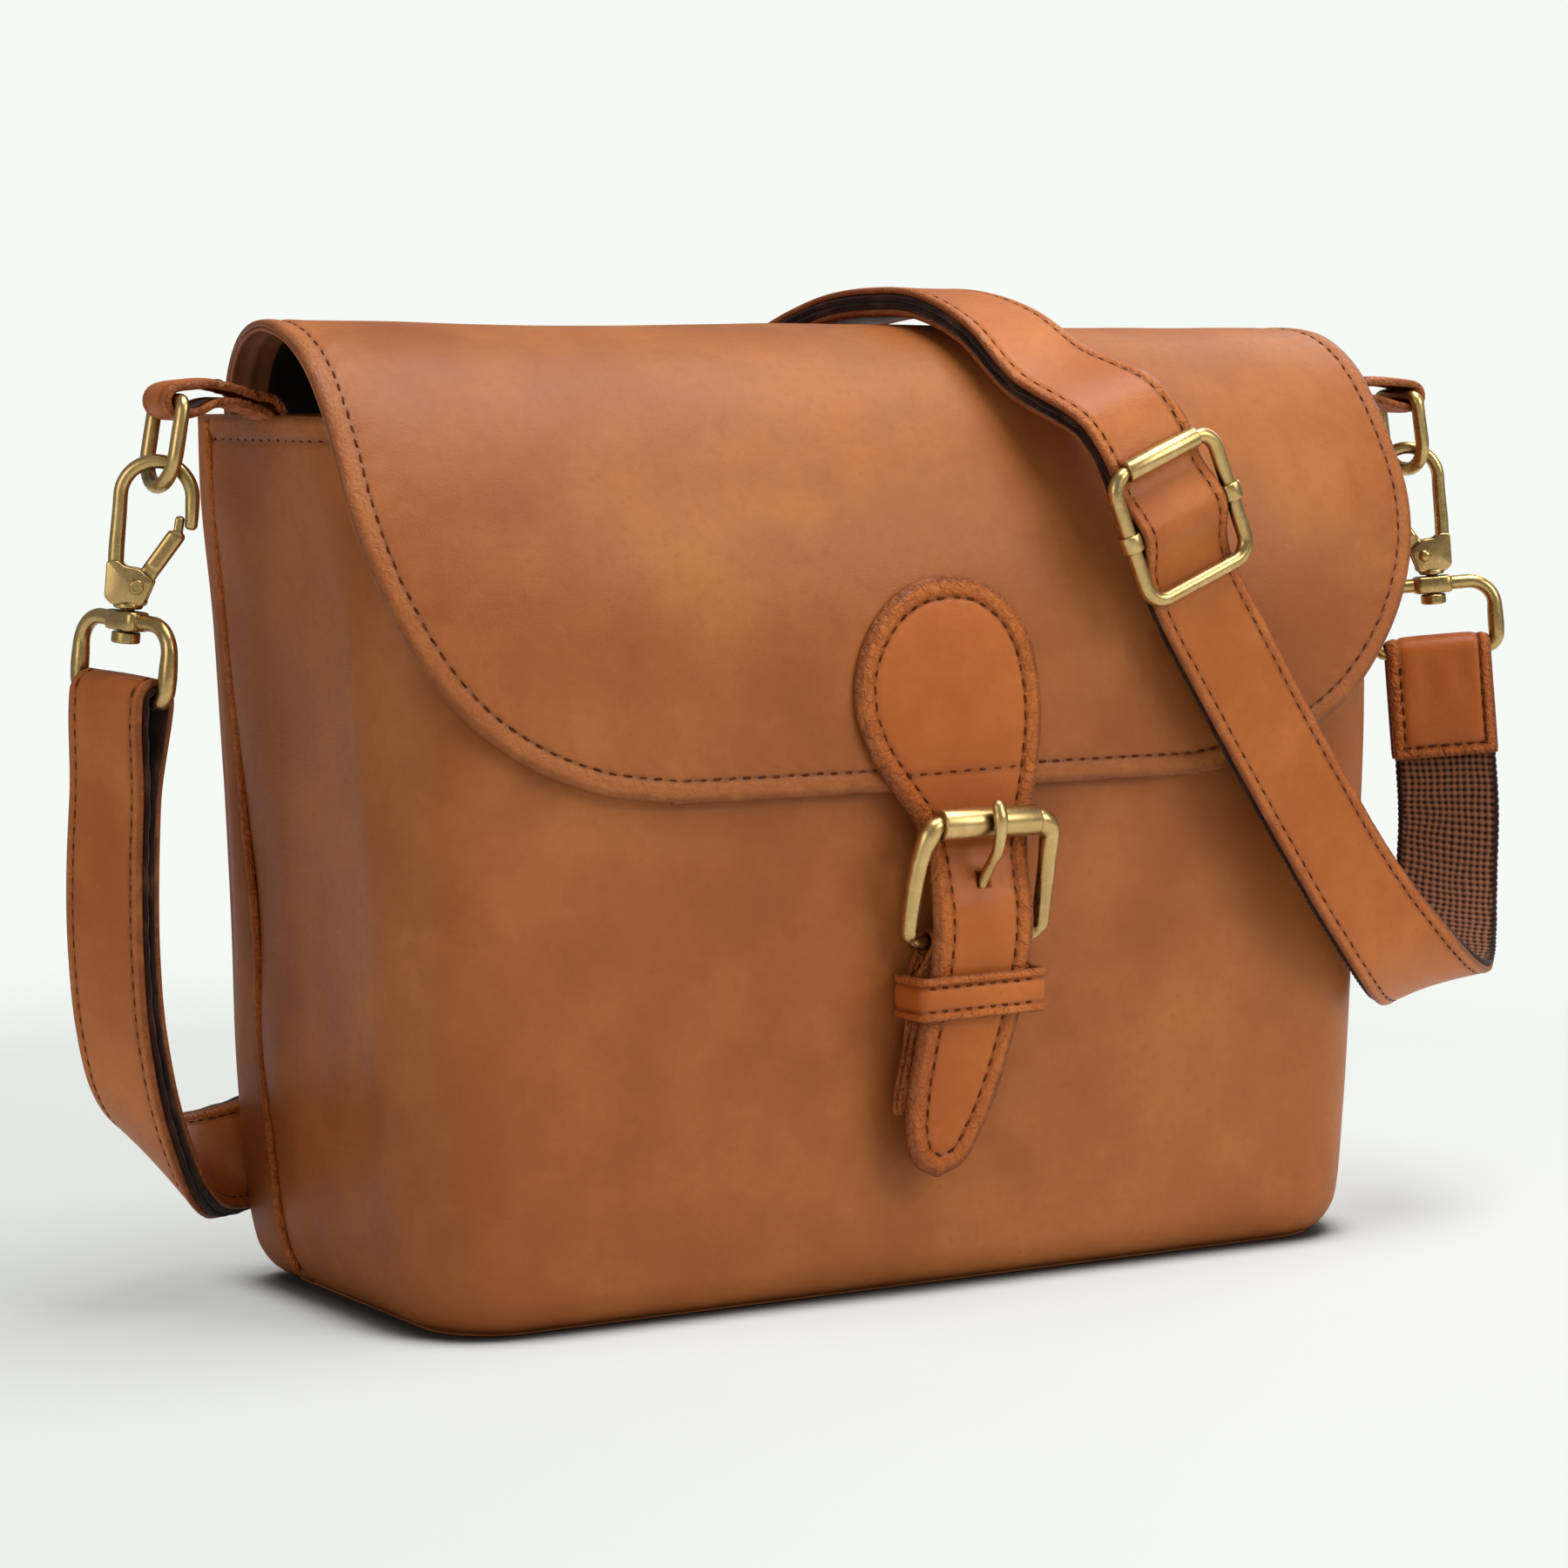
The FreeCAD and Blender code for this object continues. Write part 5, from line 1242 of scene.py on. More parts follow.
make("keeper_leather", keeper_part(), TRIM, "flap", ["keeper_loop"])
x = np.arange(KEEPER_X[0] + 3.0, KEEPER_X[1] - 2.0, 3.3)
part = merge([
    stitches(points(x, KEEPER_Y[0] + 0.22, z + KEEPER_TILT * (x - 4)), [1.0, 0, KEEPER_TILT],
             [0, -1.0, 0], length=2.2, radius=0.30, seed=8)
    for z in (KEEPER_Z[0] + KEEPER_INSET, KEEPER_Z[1] - KEEPER_INSET)])
make("keeper_stitches", part, THREAD, "flap")


# ------------------------------------------------------------------ anchor tabs
def add_anchor(side, sign, bar_x, centre_y):
    """Tab over the rim, folded round the ring's bar."""
    # Path in |x| and z: up inside the rim, outwards, round the bar and back.
    path = np.vstack([
        [(137.0, 190.0), (137.0, 198.0), (137.5, 203.0), (139.8, 206.0), (144.6, 206.9),
         (150.5, 208.5), (157.0, 209.6), (bar_x - 2.6, 209.3)],
        arc_pts((bar_x, RING_Z), 2.98, 80, -80, 9),
        [(bar_x - 4.4, 203.7), (156.0, 205.5), (150.8, 205.7), (146.2, 204.6),
         (142.6, 203.6), (139.9, 201.0), (139.2, 196.0)]])
    path = resample(spline(path, 10), 0.9)
    px, pz = path.T
    along = unit(np.gradient(path, axis=0))
    nx, nz = -along[:, 1], along[:, 0]
    top = int(np.argmax(pz))
    across = np.linspace(-1, 1, 17)[:, None]
    half = 5.7 + 0.5 * ease(150, 160, px) - 0.3 * ease(138, 146, px)
    d = half * (1 - np.abs(across))
    puff = 0.45 * (1 - np.abs(across) ** 3) * ease(136, 142, px) - 0.3 * bell(px, 137.8, 1.6)
    puff = puff - 0.35 * bell(d, 2.1, 0.5)
    puff = puff + 0.16 * np.sin(px * 2.1 + 3.0 * across) * bell(px, 147.0, 5.0)
    grid = points(sign * (px + nx * (0.95 + puff)),
                  centre_y + across * half + 0.25 * np.sin(px * 0.5), pz + nz * (0.95 + puff))
    part = sheet(grid, 1.9, points(sign * nx, 0.0, nz), flip=sign > 0, edge_rings=4,
                 attrs={"edge": near_edge(d, 3.0) * 0.6})
    make("anchor_%s_leather" % side, flare(part), TRIM, "bag", ["anchor_tab_" + side])
    rise = path[:top + 1]
    rise = rise[np.argsort(rise[:, 0])]
    x = np.arange(141.0, 158.0, 3.4)
    z = np.interp(x, rise[:, 0], rise[:, 1]) + 1.25
    part = merge([stitches(points(sign * x, y, z), [1.0, 0, 0.1 * sign], Z_AXIS,
                           length=2.2, radius=0.28, seed=12)
                  for y in (centre_y - 3.6, centre_y + 3.6)])
    make("anchor_%s_stitches" % side, flare(part), THREAD, "bag")


for side, anchor in ANCHORS.items():
    add_anchor(side, *anchor)


# ------------------------------------------------------------------ the shoulder strap
def stations(rows):
    """Centre, direction along, direction across and normal at dense stations."""
    dense = spline(rows, 16)
    centre, across = dense[:, :3], dense[:, 3:]
    along = unit(np.gradient(centre, axis=0))
    across = unit(across - along * (across * along).sum(1, keepdims=True))
    return centre, along, across, np.cross(along, across)


BRIDGE = 3      # stations added between the back and flap parts


def bridge(a, b):
    shares = np.linspace(0, 1, BRIDGE + 2)[1:-1]
    return np.vstack([a, [a[-1] * (1 - share) + b[0] * share for share in shares], b])


def hump(a):
    """Rise of the strap over the slider's middle bar."""
    a = np.abs(a)
    rise = 5.0 * (0.5 + 0.5 * np.cos(np.pi * np.minimum(a, 12.5) / 12.5))
    return np.where(a < 12.5, rise, 0.0)


back_c, back_t, back_w, back_n = stations(STRAP_LEFT + STRAP_BACK)
flap_c, _, flap_w, flap_n = stations(STRAP_FLAP)
right_c, _, right_w, right_n = stations(STRAP_RIGHT)
path_c, path_w = bridge(back_c, flap_c), bridge(back_w, flap_w)
path_n = unit(bridge(back_n, flap_n))

# Blend weights: 1 on the part carried by the flap.
path_len = arclen(path_c)
flap_from = path_len[len(back_c) + BRIDGE]
path_b = np.where(path_len > flap_from + 45.0, 1.0,
                  np.where(path_len < flap_from - 60.0, 0.0, ease(198.5, 209.0, path_c[:, 2])))
right_len = arclen(right_c)
right_b = 1 - ease(58.0, right_len[-1] - 34.0, right_len)

# Extra offsets: layers spread at the left bar, hump at the slider, centred at the right end.
spread = 2.0 * (1 - ease(0, 24, path_len))
past_slider = (path_c - SLIDER) @ SLIDER_DOWN
in_front = path_c[:, 1] < -40
path_hump = np.where(in_front, hump(past_slider), 0.0)
right_e = hump((right_c - SLIDER) @ SLIDER_DOWN) * (right_len < 30)
right_e = right_e - LAYER_MID * ease(right_len[-1] - 60.0, right_len[-1] - 30.0, right_len)

# The band runs from the slider back to the left bar as the inner layer, wraps round the bar,
# and returns as the outer layer, through the slider to the right end.
# Columns: centre, direction across, normal, extra offset, blend weight.
inner_rows = np.c_[path_c, path_w, -path_n, spread, path_b][~(in_front & (past_slider > 6.0))]
wrap_rows = [np.r_[path_c[0], back_w[0], path_n[0] * math.sin(a) - back_t[0] * math.cos(a), 2, 0]
             for a in np.radians(np.linspace(-90, 90, 15)[1:-1])]
outer_rows = np.c_[path_c, path_w, path_n, spread + path_hump, path_b]
right_rows = np.c_[right_c, right_w, right_n, right_e, right_b][1:]
band = np.vstack([inner_rows[::-1], wrap_rows, outer_rows, right_rows])
band_len = arclen(band[:, :3] + band[:, 6:9] * (band[:, 9] + 1.7)[:, None])
BAND_END = band_len[-1]
RIGHT_FROM = band_len[len(band) - len(right_rows) - 1]
strap_noise = Waves(51, 2, 40.0)
strap_fine = Waves(52, 2, 9.0)


def band_at(s):
    row = interp_rows(s, band_len, band)
    return row[:, :3], unit(row[:, 3:6]), unit(row[:, 6:9]), row[:, 9], row[:, 10]


def band_points(frame_rows, w, offset):
    """Points at w across the band and offset from its centre surface."""
    centre, across, normal, extra, _ = frame_rows
    w, offset = np.asarray(w)[..., None], (extra + offset)[..., None]
    return centre + across * w + normal * offset


def leather_offset(s, w):
    """Offset of the leather's face, and the distance to its edge."""
    d = np.minimum(w + STRAP_HALF, STRAP_HALF - w)
    offset = LEATHER_OUT + 0.10 * strap_noise(s, w) + 0.12 * (1 - (w / STRAP_HALF) ** 2)
    offset = offset - 0.30 * bell(d, 0, 0.6) - 0.26 * bell(d, 2.6, 0.55)
    return offset + 0.05 * bell(d, 1.4, 0.6), d


def strap_leather():
    s = np.append(np.arange(0, BAND_END, 1.6), BAND_END)
    w = np.concatenate([np.linspace(-STRAP_HALF + 0.35, -STRAP_HALF + 4.0, 8, endpoint=False),
                        np.linspace(-STRAP_HALF + 4.0, STRAP_HALF - 4.0, 12, endpoint=False),
                        np.linspace(STRAP_HALF - 4.0, STRAP_HALF - 0.35, 9)])
    S, W = np.meshgrid(s, w)
    rows = band_at(s)
    offset, d = leather_offset(S, W)
    # Creases before the slider and where the strap turns upwards: place, depth.
    for place, depth in ((-24.0, 0.22), (-21.5, 0.16), (-27.5, 0.14), (96, 0.15), (104, 0.18),
                         (111, 0.14)):
        offset = offset - depth * bell(S - 0.12 * W, RIGHT_FROM + place, 0.8)
    # Painted shade in the grooves of both stitch rows.
    return sheet(band_points(rows, W, offset), LEATHER_OUT - LEATHER_IN, rows[2], flip=True,
                 attrs={"edge": near_edge(d, 4.0), "stitch_shade": 0.55 * bell(d, 2.6, 0.4),
                        "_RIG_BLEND": rows[4]})


make("strap_leather", strap_leather(), STRAP, None,
     ["strap_leather_left", "strap_leather_back", "strap_leather_bend", "strap_leather_flap",
      "strap_leather_right"], hinge=STRAP_HINGE)

# Stitch rows along both borders.
s = np.arange(2.0, BAND_END - 2.0, 3.6)
at, ahead = band_at(s), band_at(s + 0.3)
parts = []
for w in (-STRAP_HALF + 2.6, STRAP_HALF - 2.6):
    w = np.full_like(s, w)
    p = band_points(at, w, leather_offset(s, w)[0])
    p_ahead = band_points(ahead, w, leather_offset(s + 0.3, w)[0])
    parts.append(stitches(p, p_ahead - p, at[2], length=2.3, radius=0.27, lift=0.02, seed=15))
make("strap_stitches", merge(parts), THREAD, hinge=STRAP_HINGE,
     weights=np.tile(np.repeat(at[4], len(STITCH_VERTS)), 2))

YARN = 1.72


def weave(s, w):
    """Height 0..1 of the raised yarn crossings."""
    u, v = w / YARN, s / YARN
    a = np.cos(2 * np.pi * (u * 0.5 + v * 0.5)) * np.cos(2 * np.pi * (u * 0.5 - v * 0.5))
    return np.clip(a, -1, 1) * 0.5 + 0.5


def webbing_part(start, end, step, columns, woven):
    """Webbing on the band's inner side; woven pieces carry the yarns as relief."""
    s = np.append(np.arange(start, end, step), end)
    S, W = np.meshgrid(s, np.linspace(-STRAP_HALF, STRAP_HALF, columns))
    rows = band_at(s)
    skewed = S + 0.10 * W + 0.25 * strap_noise(S * 1.3, W)
    height = weave(skewed, W + 0.22 * strap_fine(S, W))
    to_edge = STRAP_HALF - np.abs(W)
    ragged = 0.22 * np.sin(2 * np.pi * skewed / YARN) * bell(to_edge, 0, 0.8) * np.sign(W)
    if woven:
        offset = WEB_IN + 0.42 * (1 - height)
        shade = height * ease(0.2, 1.3, to_edge)
    else:
        offset = np.full(S.shape, WEB_IN)
        shade = 0.16 + 0.10 * strap_fine(S, W)
    return sheet(band_points(rows, W + ragged, offset), normals=-rows[2],
                 inner=band_points(rows, W, WEB_OUT), edge_rings=1,
                 attrs={"weave": shade, "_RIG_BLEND": rows[4]})


woven_from = RIGHT_FROM + 78.0
part = merge([webbing_part(0.0, woven_from, step=2.2, columns=15, woven=False),
              webbing_part(woven_from, BAND_END, step=0.36, columns=68, woven=True)])
make("strap_webbing", part, WEB, None,
     ["strap_webbing_left", "strap_webbing_back", "strap_webbing_bend", "strap_webbing_flap",
      "strap_webbing_right"], hinge=STRAP_HINGE)


def add_end_cap():
    """Leather cap folded over the strap's right end, round the swivel loop's bar."""
    along = unit(right_c[-1] - right_c[-8])
    across = unit(right_w[-1])
    normal = unit(np.cross(along, across))
    bar = right_c[-1] + along * 4.2
    radius, length, half = 1.8 + 0.25 + 0.75, 27.0, 12.9
    path = np.vstack([[(-length, -radius + 0.1), (-20.0, -radius), (-10.0, -radius)],
                      arc_pts((0, 0), radius, -90, 90, 13),
                      [(-10.0, radius), (-20.0, radius), (-length, radius - 0.1)]])
    path = resample(path, 0.7)
    path_t = unit(np.gradient(path, axis=0))
    W = np.concatenate([np.linspace(-half, -9.5, 8, endpoint=False),
                        np.linspace(-9.5, 9.5, 20, endpoint=False),
                        np.linspace(9.5, half, 9)])[:, None]
    to_end = path[:, 0] + length
    d = np.minimum(half - np.abs(W), to_end)
    puff = 0.55 * ease(0, 6, to_end) * (1 - (W / half) ** 4)
    puff = puff - 0.35 * bell(d, 2.6, 0.6) - 0.25 * bell(d, 0, 0.6)
    puff = puff + 0.18 * np.sin(W * 0.8 + 1.0) * bell(to_end, 21, 4.0)
    normals = along * path_t[:, 1:] - normal * path_t[:, :1]
    grid = bar + along * path[:, :1] + normal * path[:, 1:] + across * W[..., None]
    grid = grid + normals * (0.75 + puff)[..., None]
    # Painted shade in the cap's stitch grooves.
    part = sheet(grid, 1.45, normals,
                 attrs={"edge": near_edge(d, 3.2), "stitch_shade": 0.6 * bell(d, 2.6, 0.45)})
    make("end_cap_leather", part, TRIM, "bag", ["strap_end_cap"])
    # Stitch rows on both faces: along, across, direction.
    lengthwise = np.arange(-21.5, -3.0, 3.4)
    rows = ((-24.4, np.arange(-10.0, 10.1, 3.3), across), (lengthwise, -10.3, along),
            (lengthwise, 10.3, along))
    parts = []
    for face in (-1.0, 1.0):
        for u, w, direction in rows:
            local = points(u, w, face * (radius + 0.95))
            places = bar + local @ np.array([along, across, normal])
            parts.append(stitches(places, direction, normal * face, length=2.2, radius=0.30,
                                  seed=19))
    make("end_cap_stitches", merge(parts), THREAD, "bag")


add_end_cap()


# ------------------------------------------------------------------ hardware helpers
# A local frame is an origin and three axes.
def to_world(local_frame, p):
    origin, e1, e2, e3 = local_frame
    p = np.asarray(p, float)
    return origin + p[..., :1] * e1 + p[..., 1:2] * e2 + p[..., 2:3] * e3


def loft(rings):
    """Closed skin through rings of equal count, with fan ends."""
    rings = np.asarray(rings, float)
    verts = np.vstack([rings.reshape(-1, 3), rings[0].mean(0), rings[-1].mean(0)])
    return outward((verts, skin_faces(*rings.shape[:2]), {}))


def flat_bar(path, half_width, half_height, local_frame, squareness):
    """Bar with a superellipse section along a flat path, domed at both ends."""
    seg = 22
    a = np.broadcast_to(np.asarray(half_width, float), (len(path),))
    b = np.broadcast_to(np.asarray(half_height, float), (len(path),))
    along = unit(np.gradient(path, axis=0))
    across = np.c_[-along[:, 1], along[:, 0]]

    def dome(i, way, angle):
        cos, sin = math.cos(math.radians(angle)), math.sin(math.radians(angle))
        return path[i] + way * along[i] * a[i] * 0.8 * sin, across[i], a[i] * cos, b[i] * cos

    angles = (80, 60, 38, 18)
    sections = [dome(0, -1, angle) for angle in angles]
    sections += list(zip(path, across, a, b))
    sections += [dome(-1, 1, angle) for angle in angles[::-1]]
    th = np.linspace(0, 2 * np.pi, seg, endpoint=False)
    cos = np.sign(np.cos(th)) * np.abs(np.cos(th)) ** (2 / squareness)
    sin = np.sign(np.sin(th)) * np.abs(np.sin(th)) ** (2 / squareness)
    return loft([to_world(local_frame, np.c_[centre + side * (cos * wide)[:, None], sin * high])
                 for centre, side, wide, high in sections])


def soften(corners, radius, n=4):
    """Rounds the corners of a flat polygon."""
    p = np.asarray(corners, float)
    out = []
    for i in range(len(p)):
        a, b, c = p[i - 1], p[i], p[(i + 1) % len(p)]
        start = b + unit(a - b) * min(radius, 0.45 * np.linalg.norm(a - b))
        end = b + unit(c - b) * min(radius, 0.45 * np.linalg.norm(c - b))
        for t in np.linspace(0, 1, n):
            out.append((1 - t) ** 2 * start + 2 * t * (1 - t) * b + t * t * end)
    return np.array(out)


def plate(outline, low, high, bevel, local_frame):
    """Flat plate with eased edges between two heights."""
    p = outline
    following = np.roll(p, -1, 0)
    if np.sum(p[:, 0] * following[:, 1] - following[:, 0] * p[:, 1]) < 0:
        p = p[::-1]
    d = np.roll(p, -1, 0) - p
    normals = unit(np.c_[-d[:, 1], d[:, 0]])
    bisector = normals + np.roll(normals, 1, 0)
    inwards = bisector / np.maximum((bisector * normals).sum(1), 0.4)[:, None]
    steps = ((bevel, low), (0.30 * bevel, low + 0.30 * bevel), (0.0, low + bevel),
             (0.0, high - bevel), (0.30 * bevel, high - 0.30 * bevel), (bevel, high))
    return loft([to_world(local_frame, np.c_[p + inwards * inset, np.full(len(p), z)])
                 for inset, z in steps])


def wire(path, radius, local_frame, seg=18, lift=0.0):
    """Closed loop of round wire along a flat path."""
    path = to_world(local_frame, np.c_[path, np.full(len(path), lift)])
    return outward(tube(path, radius, seg=seg, closed=True))


def sleeve(origin, axis, half, radius, bore, bevel):
    profile = [(-half, radius - bevel), (-half + 0.3 * bevel, radius - 0.3 * bevel),
               (-half + bevel, radius), (half - bevel, radius),
               (half - 0.3 * bevel, radius - 0.3 * bevel), (half, radius - bevel)]
    return lathe(profile, origin, axis, 36, bore=bore)


def metal(name, parts, body, node):
    make(name, merge(parts), BRASS, body, [node], sharp=50)


# ------------------------------------------------------------------ snap hooks and rings
def add_hook(side):
    hook = np.array(HOOK_FRAMES[side], float)
    origin, e1, e2, e3 = hook
    # Bow of the hook, from the nose over the top and down the back.
    path = np.vstack([[(12.95, 18.9), (13.0, 20.8)], arc_pts((4.9, 24.4), 7.95, 0, 180, 30),
                      [(-3.0, 21.0), (-3.05, 17.0), (-3.1, 13.0), (-3.0, 9.0), (-2.6, 5.5)]])
    path = resample(path, 0.8)
    lengths = arclen(path)
    t = lengths / lengths[-1]
    bow = flat_bar(path, 1.42 + 0.16 * ease(0, 0.12, t) + 0.16 * ease(0.6, 0.9, t),
                   1.88 - 0.25 * (1 - ease(0, 0.06, t)), hook, squareness=2.5)
    cheek = soften([(-3.2, 0.2), (-4.7, 1.6), (-4.75, 9.6), (-2.2, 9.9), (-0.6, 8.7), (2.4, 8.5),
                    (5.9, 6.0), (3.9, 0.2)], 0.7)
    spine = soften([(-2.8, 0.4), (-4.5, 2.6), (-4.5, 9.3), (-1.0, 8.6), (-0.75, 0.4)], 0.8)
    foot = soften([(-2.8, 0.25), (-3.6, 1.25), (4.6, 1.25), (4.2, 0.25)], 0.3)
    collar = [(-0.62, 2.7), (-0.45, 3.15), (-0.1, 3.3), (0.3, 3.3), (0.62, 3.1)]
    metal("hook_%s_metal" % side,
          [bow, plate(cheek, 1.62, 2.62, 0.35, hook), plate(cheek, -2.62, -1.62, 0.35, hook),
           plate(spine, -1.9, 1.9, 0.4, hook), plate(foot, -1.8, 1.8, 0.25, hook),
           lathe(collar, origin + e1 * 0.4, e2, 30)], "hook_" + side, "hook_" + side)
    # Rivet of the gate, with peened heads.
    rivet = [(-3.3, 0.5), (-3.12, 1.2), (-2.7, 1.5), (-2.45, 1.5), (-2.4, 0.88), (2.4, 0.88),
             (2.45, 1.62), (2.8, 1.66), (3.1, 1.45), (3.16, 1.15), (3.06, 0.85), (3.14, 0.4)]
    metal("rivet_%s_metal" % side, [lathe(rivet, origin + e1 * 2.3 + e2 * 4.4, e3)],
          "hook_" + side, "gate_rivet_" + side)
    # Gate, stepping down to a thin tongue at its tip.
    t = np.linspace(0, 1, 34)
    bends = [0, 0.80, 0.87, 1]
    path = np.c_[np.interp(t, bends, [2.5, 10.0, 10.2, 10.4]),
                 np.interp(t, bends, [4.4, 16.6, 17.5, 20.0])]
    tongue = ease(0.80, 0.86, t)
    gate = flat_bar(path, 1.95 - 0.95 * tongue, 1.3 + 0.6 * ease(0.24, 0.30, t) - 0.5 * tongue,
                    hook, squareness=4.0)
    metal("gate_%s_metal" % side, [gate], "gate_" + side, "hook_gate_" + side)


def add_swivel_loop(side):
    """Wire loop for the strap with a boss at its top."""
    half, depth = 15.6, 17.0
    bar, e1, e2, e3 = np.array(LOOP_FRAMES[side], float)
    top = bar + e2 * depth
    path = np.vstack([
        np.c_[np.linspace(0, half - 6.5, 8), np.zeros(8)],
        arc_pts((half - 6.5, -6.5), 6.5, 85, 0, 12), [(half, -9.0), (half, -11.5)],
        arc_pts((half - 3.2, -depth + 3.2), 3.2, -5, -85, 8),
        np.c_[np.linspace(half - 5, -half + 5, 16), np.full(16, -depth)],
        arc_pts((-half + 3.2, -depth + 3.2), 3.2, -95, -175, 8),
        [(-half, -11.5), (-half, -9.0)], arc_pts((-half + 6.5, -6.5), 6.5, 180, 95, 12),
        np.c_[np.linspace(-half + 6.5, -1.2, 7), np.zeros(7)]])
    radius = 1.78 + 0.34 * bell(path[:, 1], -11.0, 4.5) * (np.abs(path[:, 0]) > 13.5)
    boss = soften([(-5.0, -3.1), (5.0, -3.1), (5.0, 3.1), (-5.0, 3.1)], 2.2, 6)
    metal("loop_%s_metal" % side,
          [wire(path, radius, (top, e1, e2, e3)), plate(boss, -2.25, 2.15, 0.7, (top, e1, e3, e2))],
          "swivel_" + side, "swivel_loop_" + side)


def add_ring(side, sign, bar_x, bar_y):
    """D-shaped ring hanging from the anchor tab, its flat bar on top."""
    tilt = math.radians(10.0)
    ring = (np.array([sign * bar_x, bar_y, RING_Z]), np.array([0, 1.0, 0]),
            np.array([sign * math.sin(tilt), 0, -math.cos(tilt)]), X_AXIS)
    path = np.vstack([
        np.c_[np.linspace(-5.0, 5.0, 9), np.zeros(9)], arc_pts((5.3, 2.3), 2.3, -80, -5, 6),
        [(7.6, 5.0), (7.6, 8.0)], arc_pts((0, 11.4), 7.6, 0, 180, 26),
        [(-7.6, 8.0), (-7.6, 5.0)], arc_pts((-5.3, 2.3), 2.3, 185, 260, 6)])
    metal("ring_%s_metal" % side, [wire(path, 1.68 + 0.04 * ease(3.0, 8.0, path[:, 1]), ring)],
          "ring_" + side, "ring_" + side)


for side, anchor in ANCHORS.items():
    add_hook(side)
    add_swivel_loop(side)
    add_ring(side, *anchor)

# ------------------------------------------------------------------ buckle
buckle_bar = np.array([BUCKLE_X, BAR_Y, BAR_Z])
buckle_up = unit(np.array([0, ROLLER_Y - BAR_Y, ROLLER_Z - BAR_Z]))
buckle_frame = (buckle_bar, X_AXIS, buckle_up, np.cross(X_AXIS, buckle_up))
BUCKLE_LEN = math.hypot(ROLLER_Y - BAR_Y, ROLLER_Z - BAR_Z)


def add_buckle_frame():
    """Heavy wire frame, thickened into a knob at each upper corner."""
    half, top = 18.2, BUCKLE_LEN
    path = np.vstack([
        np.c_[np.linspace(-12, 12, 14), np.zeros(14)],
        arc_pts((half - 3.8, 3.8), 3.8, -80, -5, 8),
        [(half, 7.0), (half, 11.0), (half, 15.0), (half - 0.1, 19.0)],
        arc_pts((half - 5.2, top - 5.0), 5.0, 8, 88, 10),
        np.c_[np.linspace(12.0, -13.0, 14), np.full(14, top)],
        [(-14.6, top - 0.7), (-15.8, top - 2.6), (-16.7, top - 5.4), (-17.5, top - 9.0),
         (-18.0, top - 13.0), (-half, 11.0), (-half, 7.0)],
        arc_pts((-half + 3.8, 3.8), 3.8, 185, 260, 8)])
    x, y = path.T
    radius = np.where(y > 2.0, 2.15, 1.72)
    radius = radius + 0.95 * np.exp(-(((x - 15.4) / 3.4) ** 2 + ((y - top + 1.2) / 4.0) ** 2))
    radius = radius + 0.70 * np.exp(-(((x + 15.4) / 1.9) ** 2 + ((y - top + 1.8) / 2.2) ** 2))
    under_roller = (y > top - 0.2) & (np.abs(x) < 12.5)
    radius = np.where(under_roller, 1.7, radius)
    metal("buckle_metal", [wire(path, radius, buckle_frame, seg=20)], "buckle", "buckle_frame")


def add_prong():
    """Eye round the lower bar, and a blade that rises through the strap to the roller."""
    eye = sleeve(buckle_bar, X_AXIS, half=2.0, radius=3.0, bore=1.83, bevel=0.5)
    path = [(BAR_Y - 0.8, BAR_Z + 2.3), (-57.6, 91.2), (-61.8, 98.2), (-66.0, 103.4),
            (-67.2, 107.6), (-67.2, 110.8), (-66.3, 113.6)]
    path = spline([(BUCKLE_X, y, z) for y, z in path], 6)
    t = np.linspace(0, 1, len(path))
    radius = 1.4 + 0.12 * ease(0.45, 0.75, t) + 0.25 * bell(t, 0.86, 0.09)
    # Domed tip.
    a = np.radians([25, 50, 72, 86])
    tip = path[-1] + unit(path[-1] - path[-2]) * (radius[-1] * np.sin(a))[:, None]
    blade = tube(np.vstack([path, tip]), np.concatenate([radius, radius[-1] * np.cos(a)]),
                 seg=18, up=X_AXIS, squash=0.9)
    metal("prong_metal", [eye, outward(blade)], "buckle_prong", "buckle_prong")


add_buckle_frame()
metal("buckle_roller_metal",
      [sleeve(to_world(buckle_frame, np.array([0.2, BUCKLE_LEN, 0.0])), X_AXIS,
              half=13.2, radius=3.65, bore=1.8, bevel=0.45)], "buckle_roller", "buckle_roller")
add_prong()


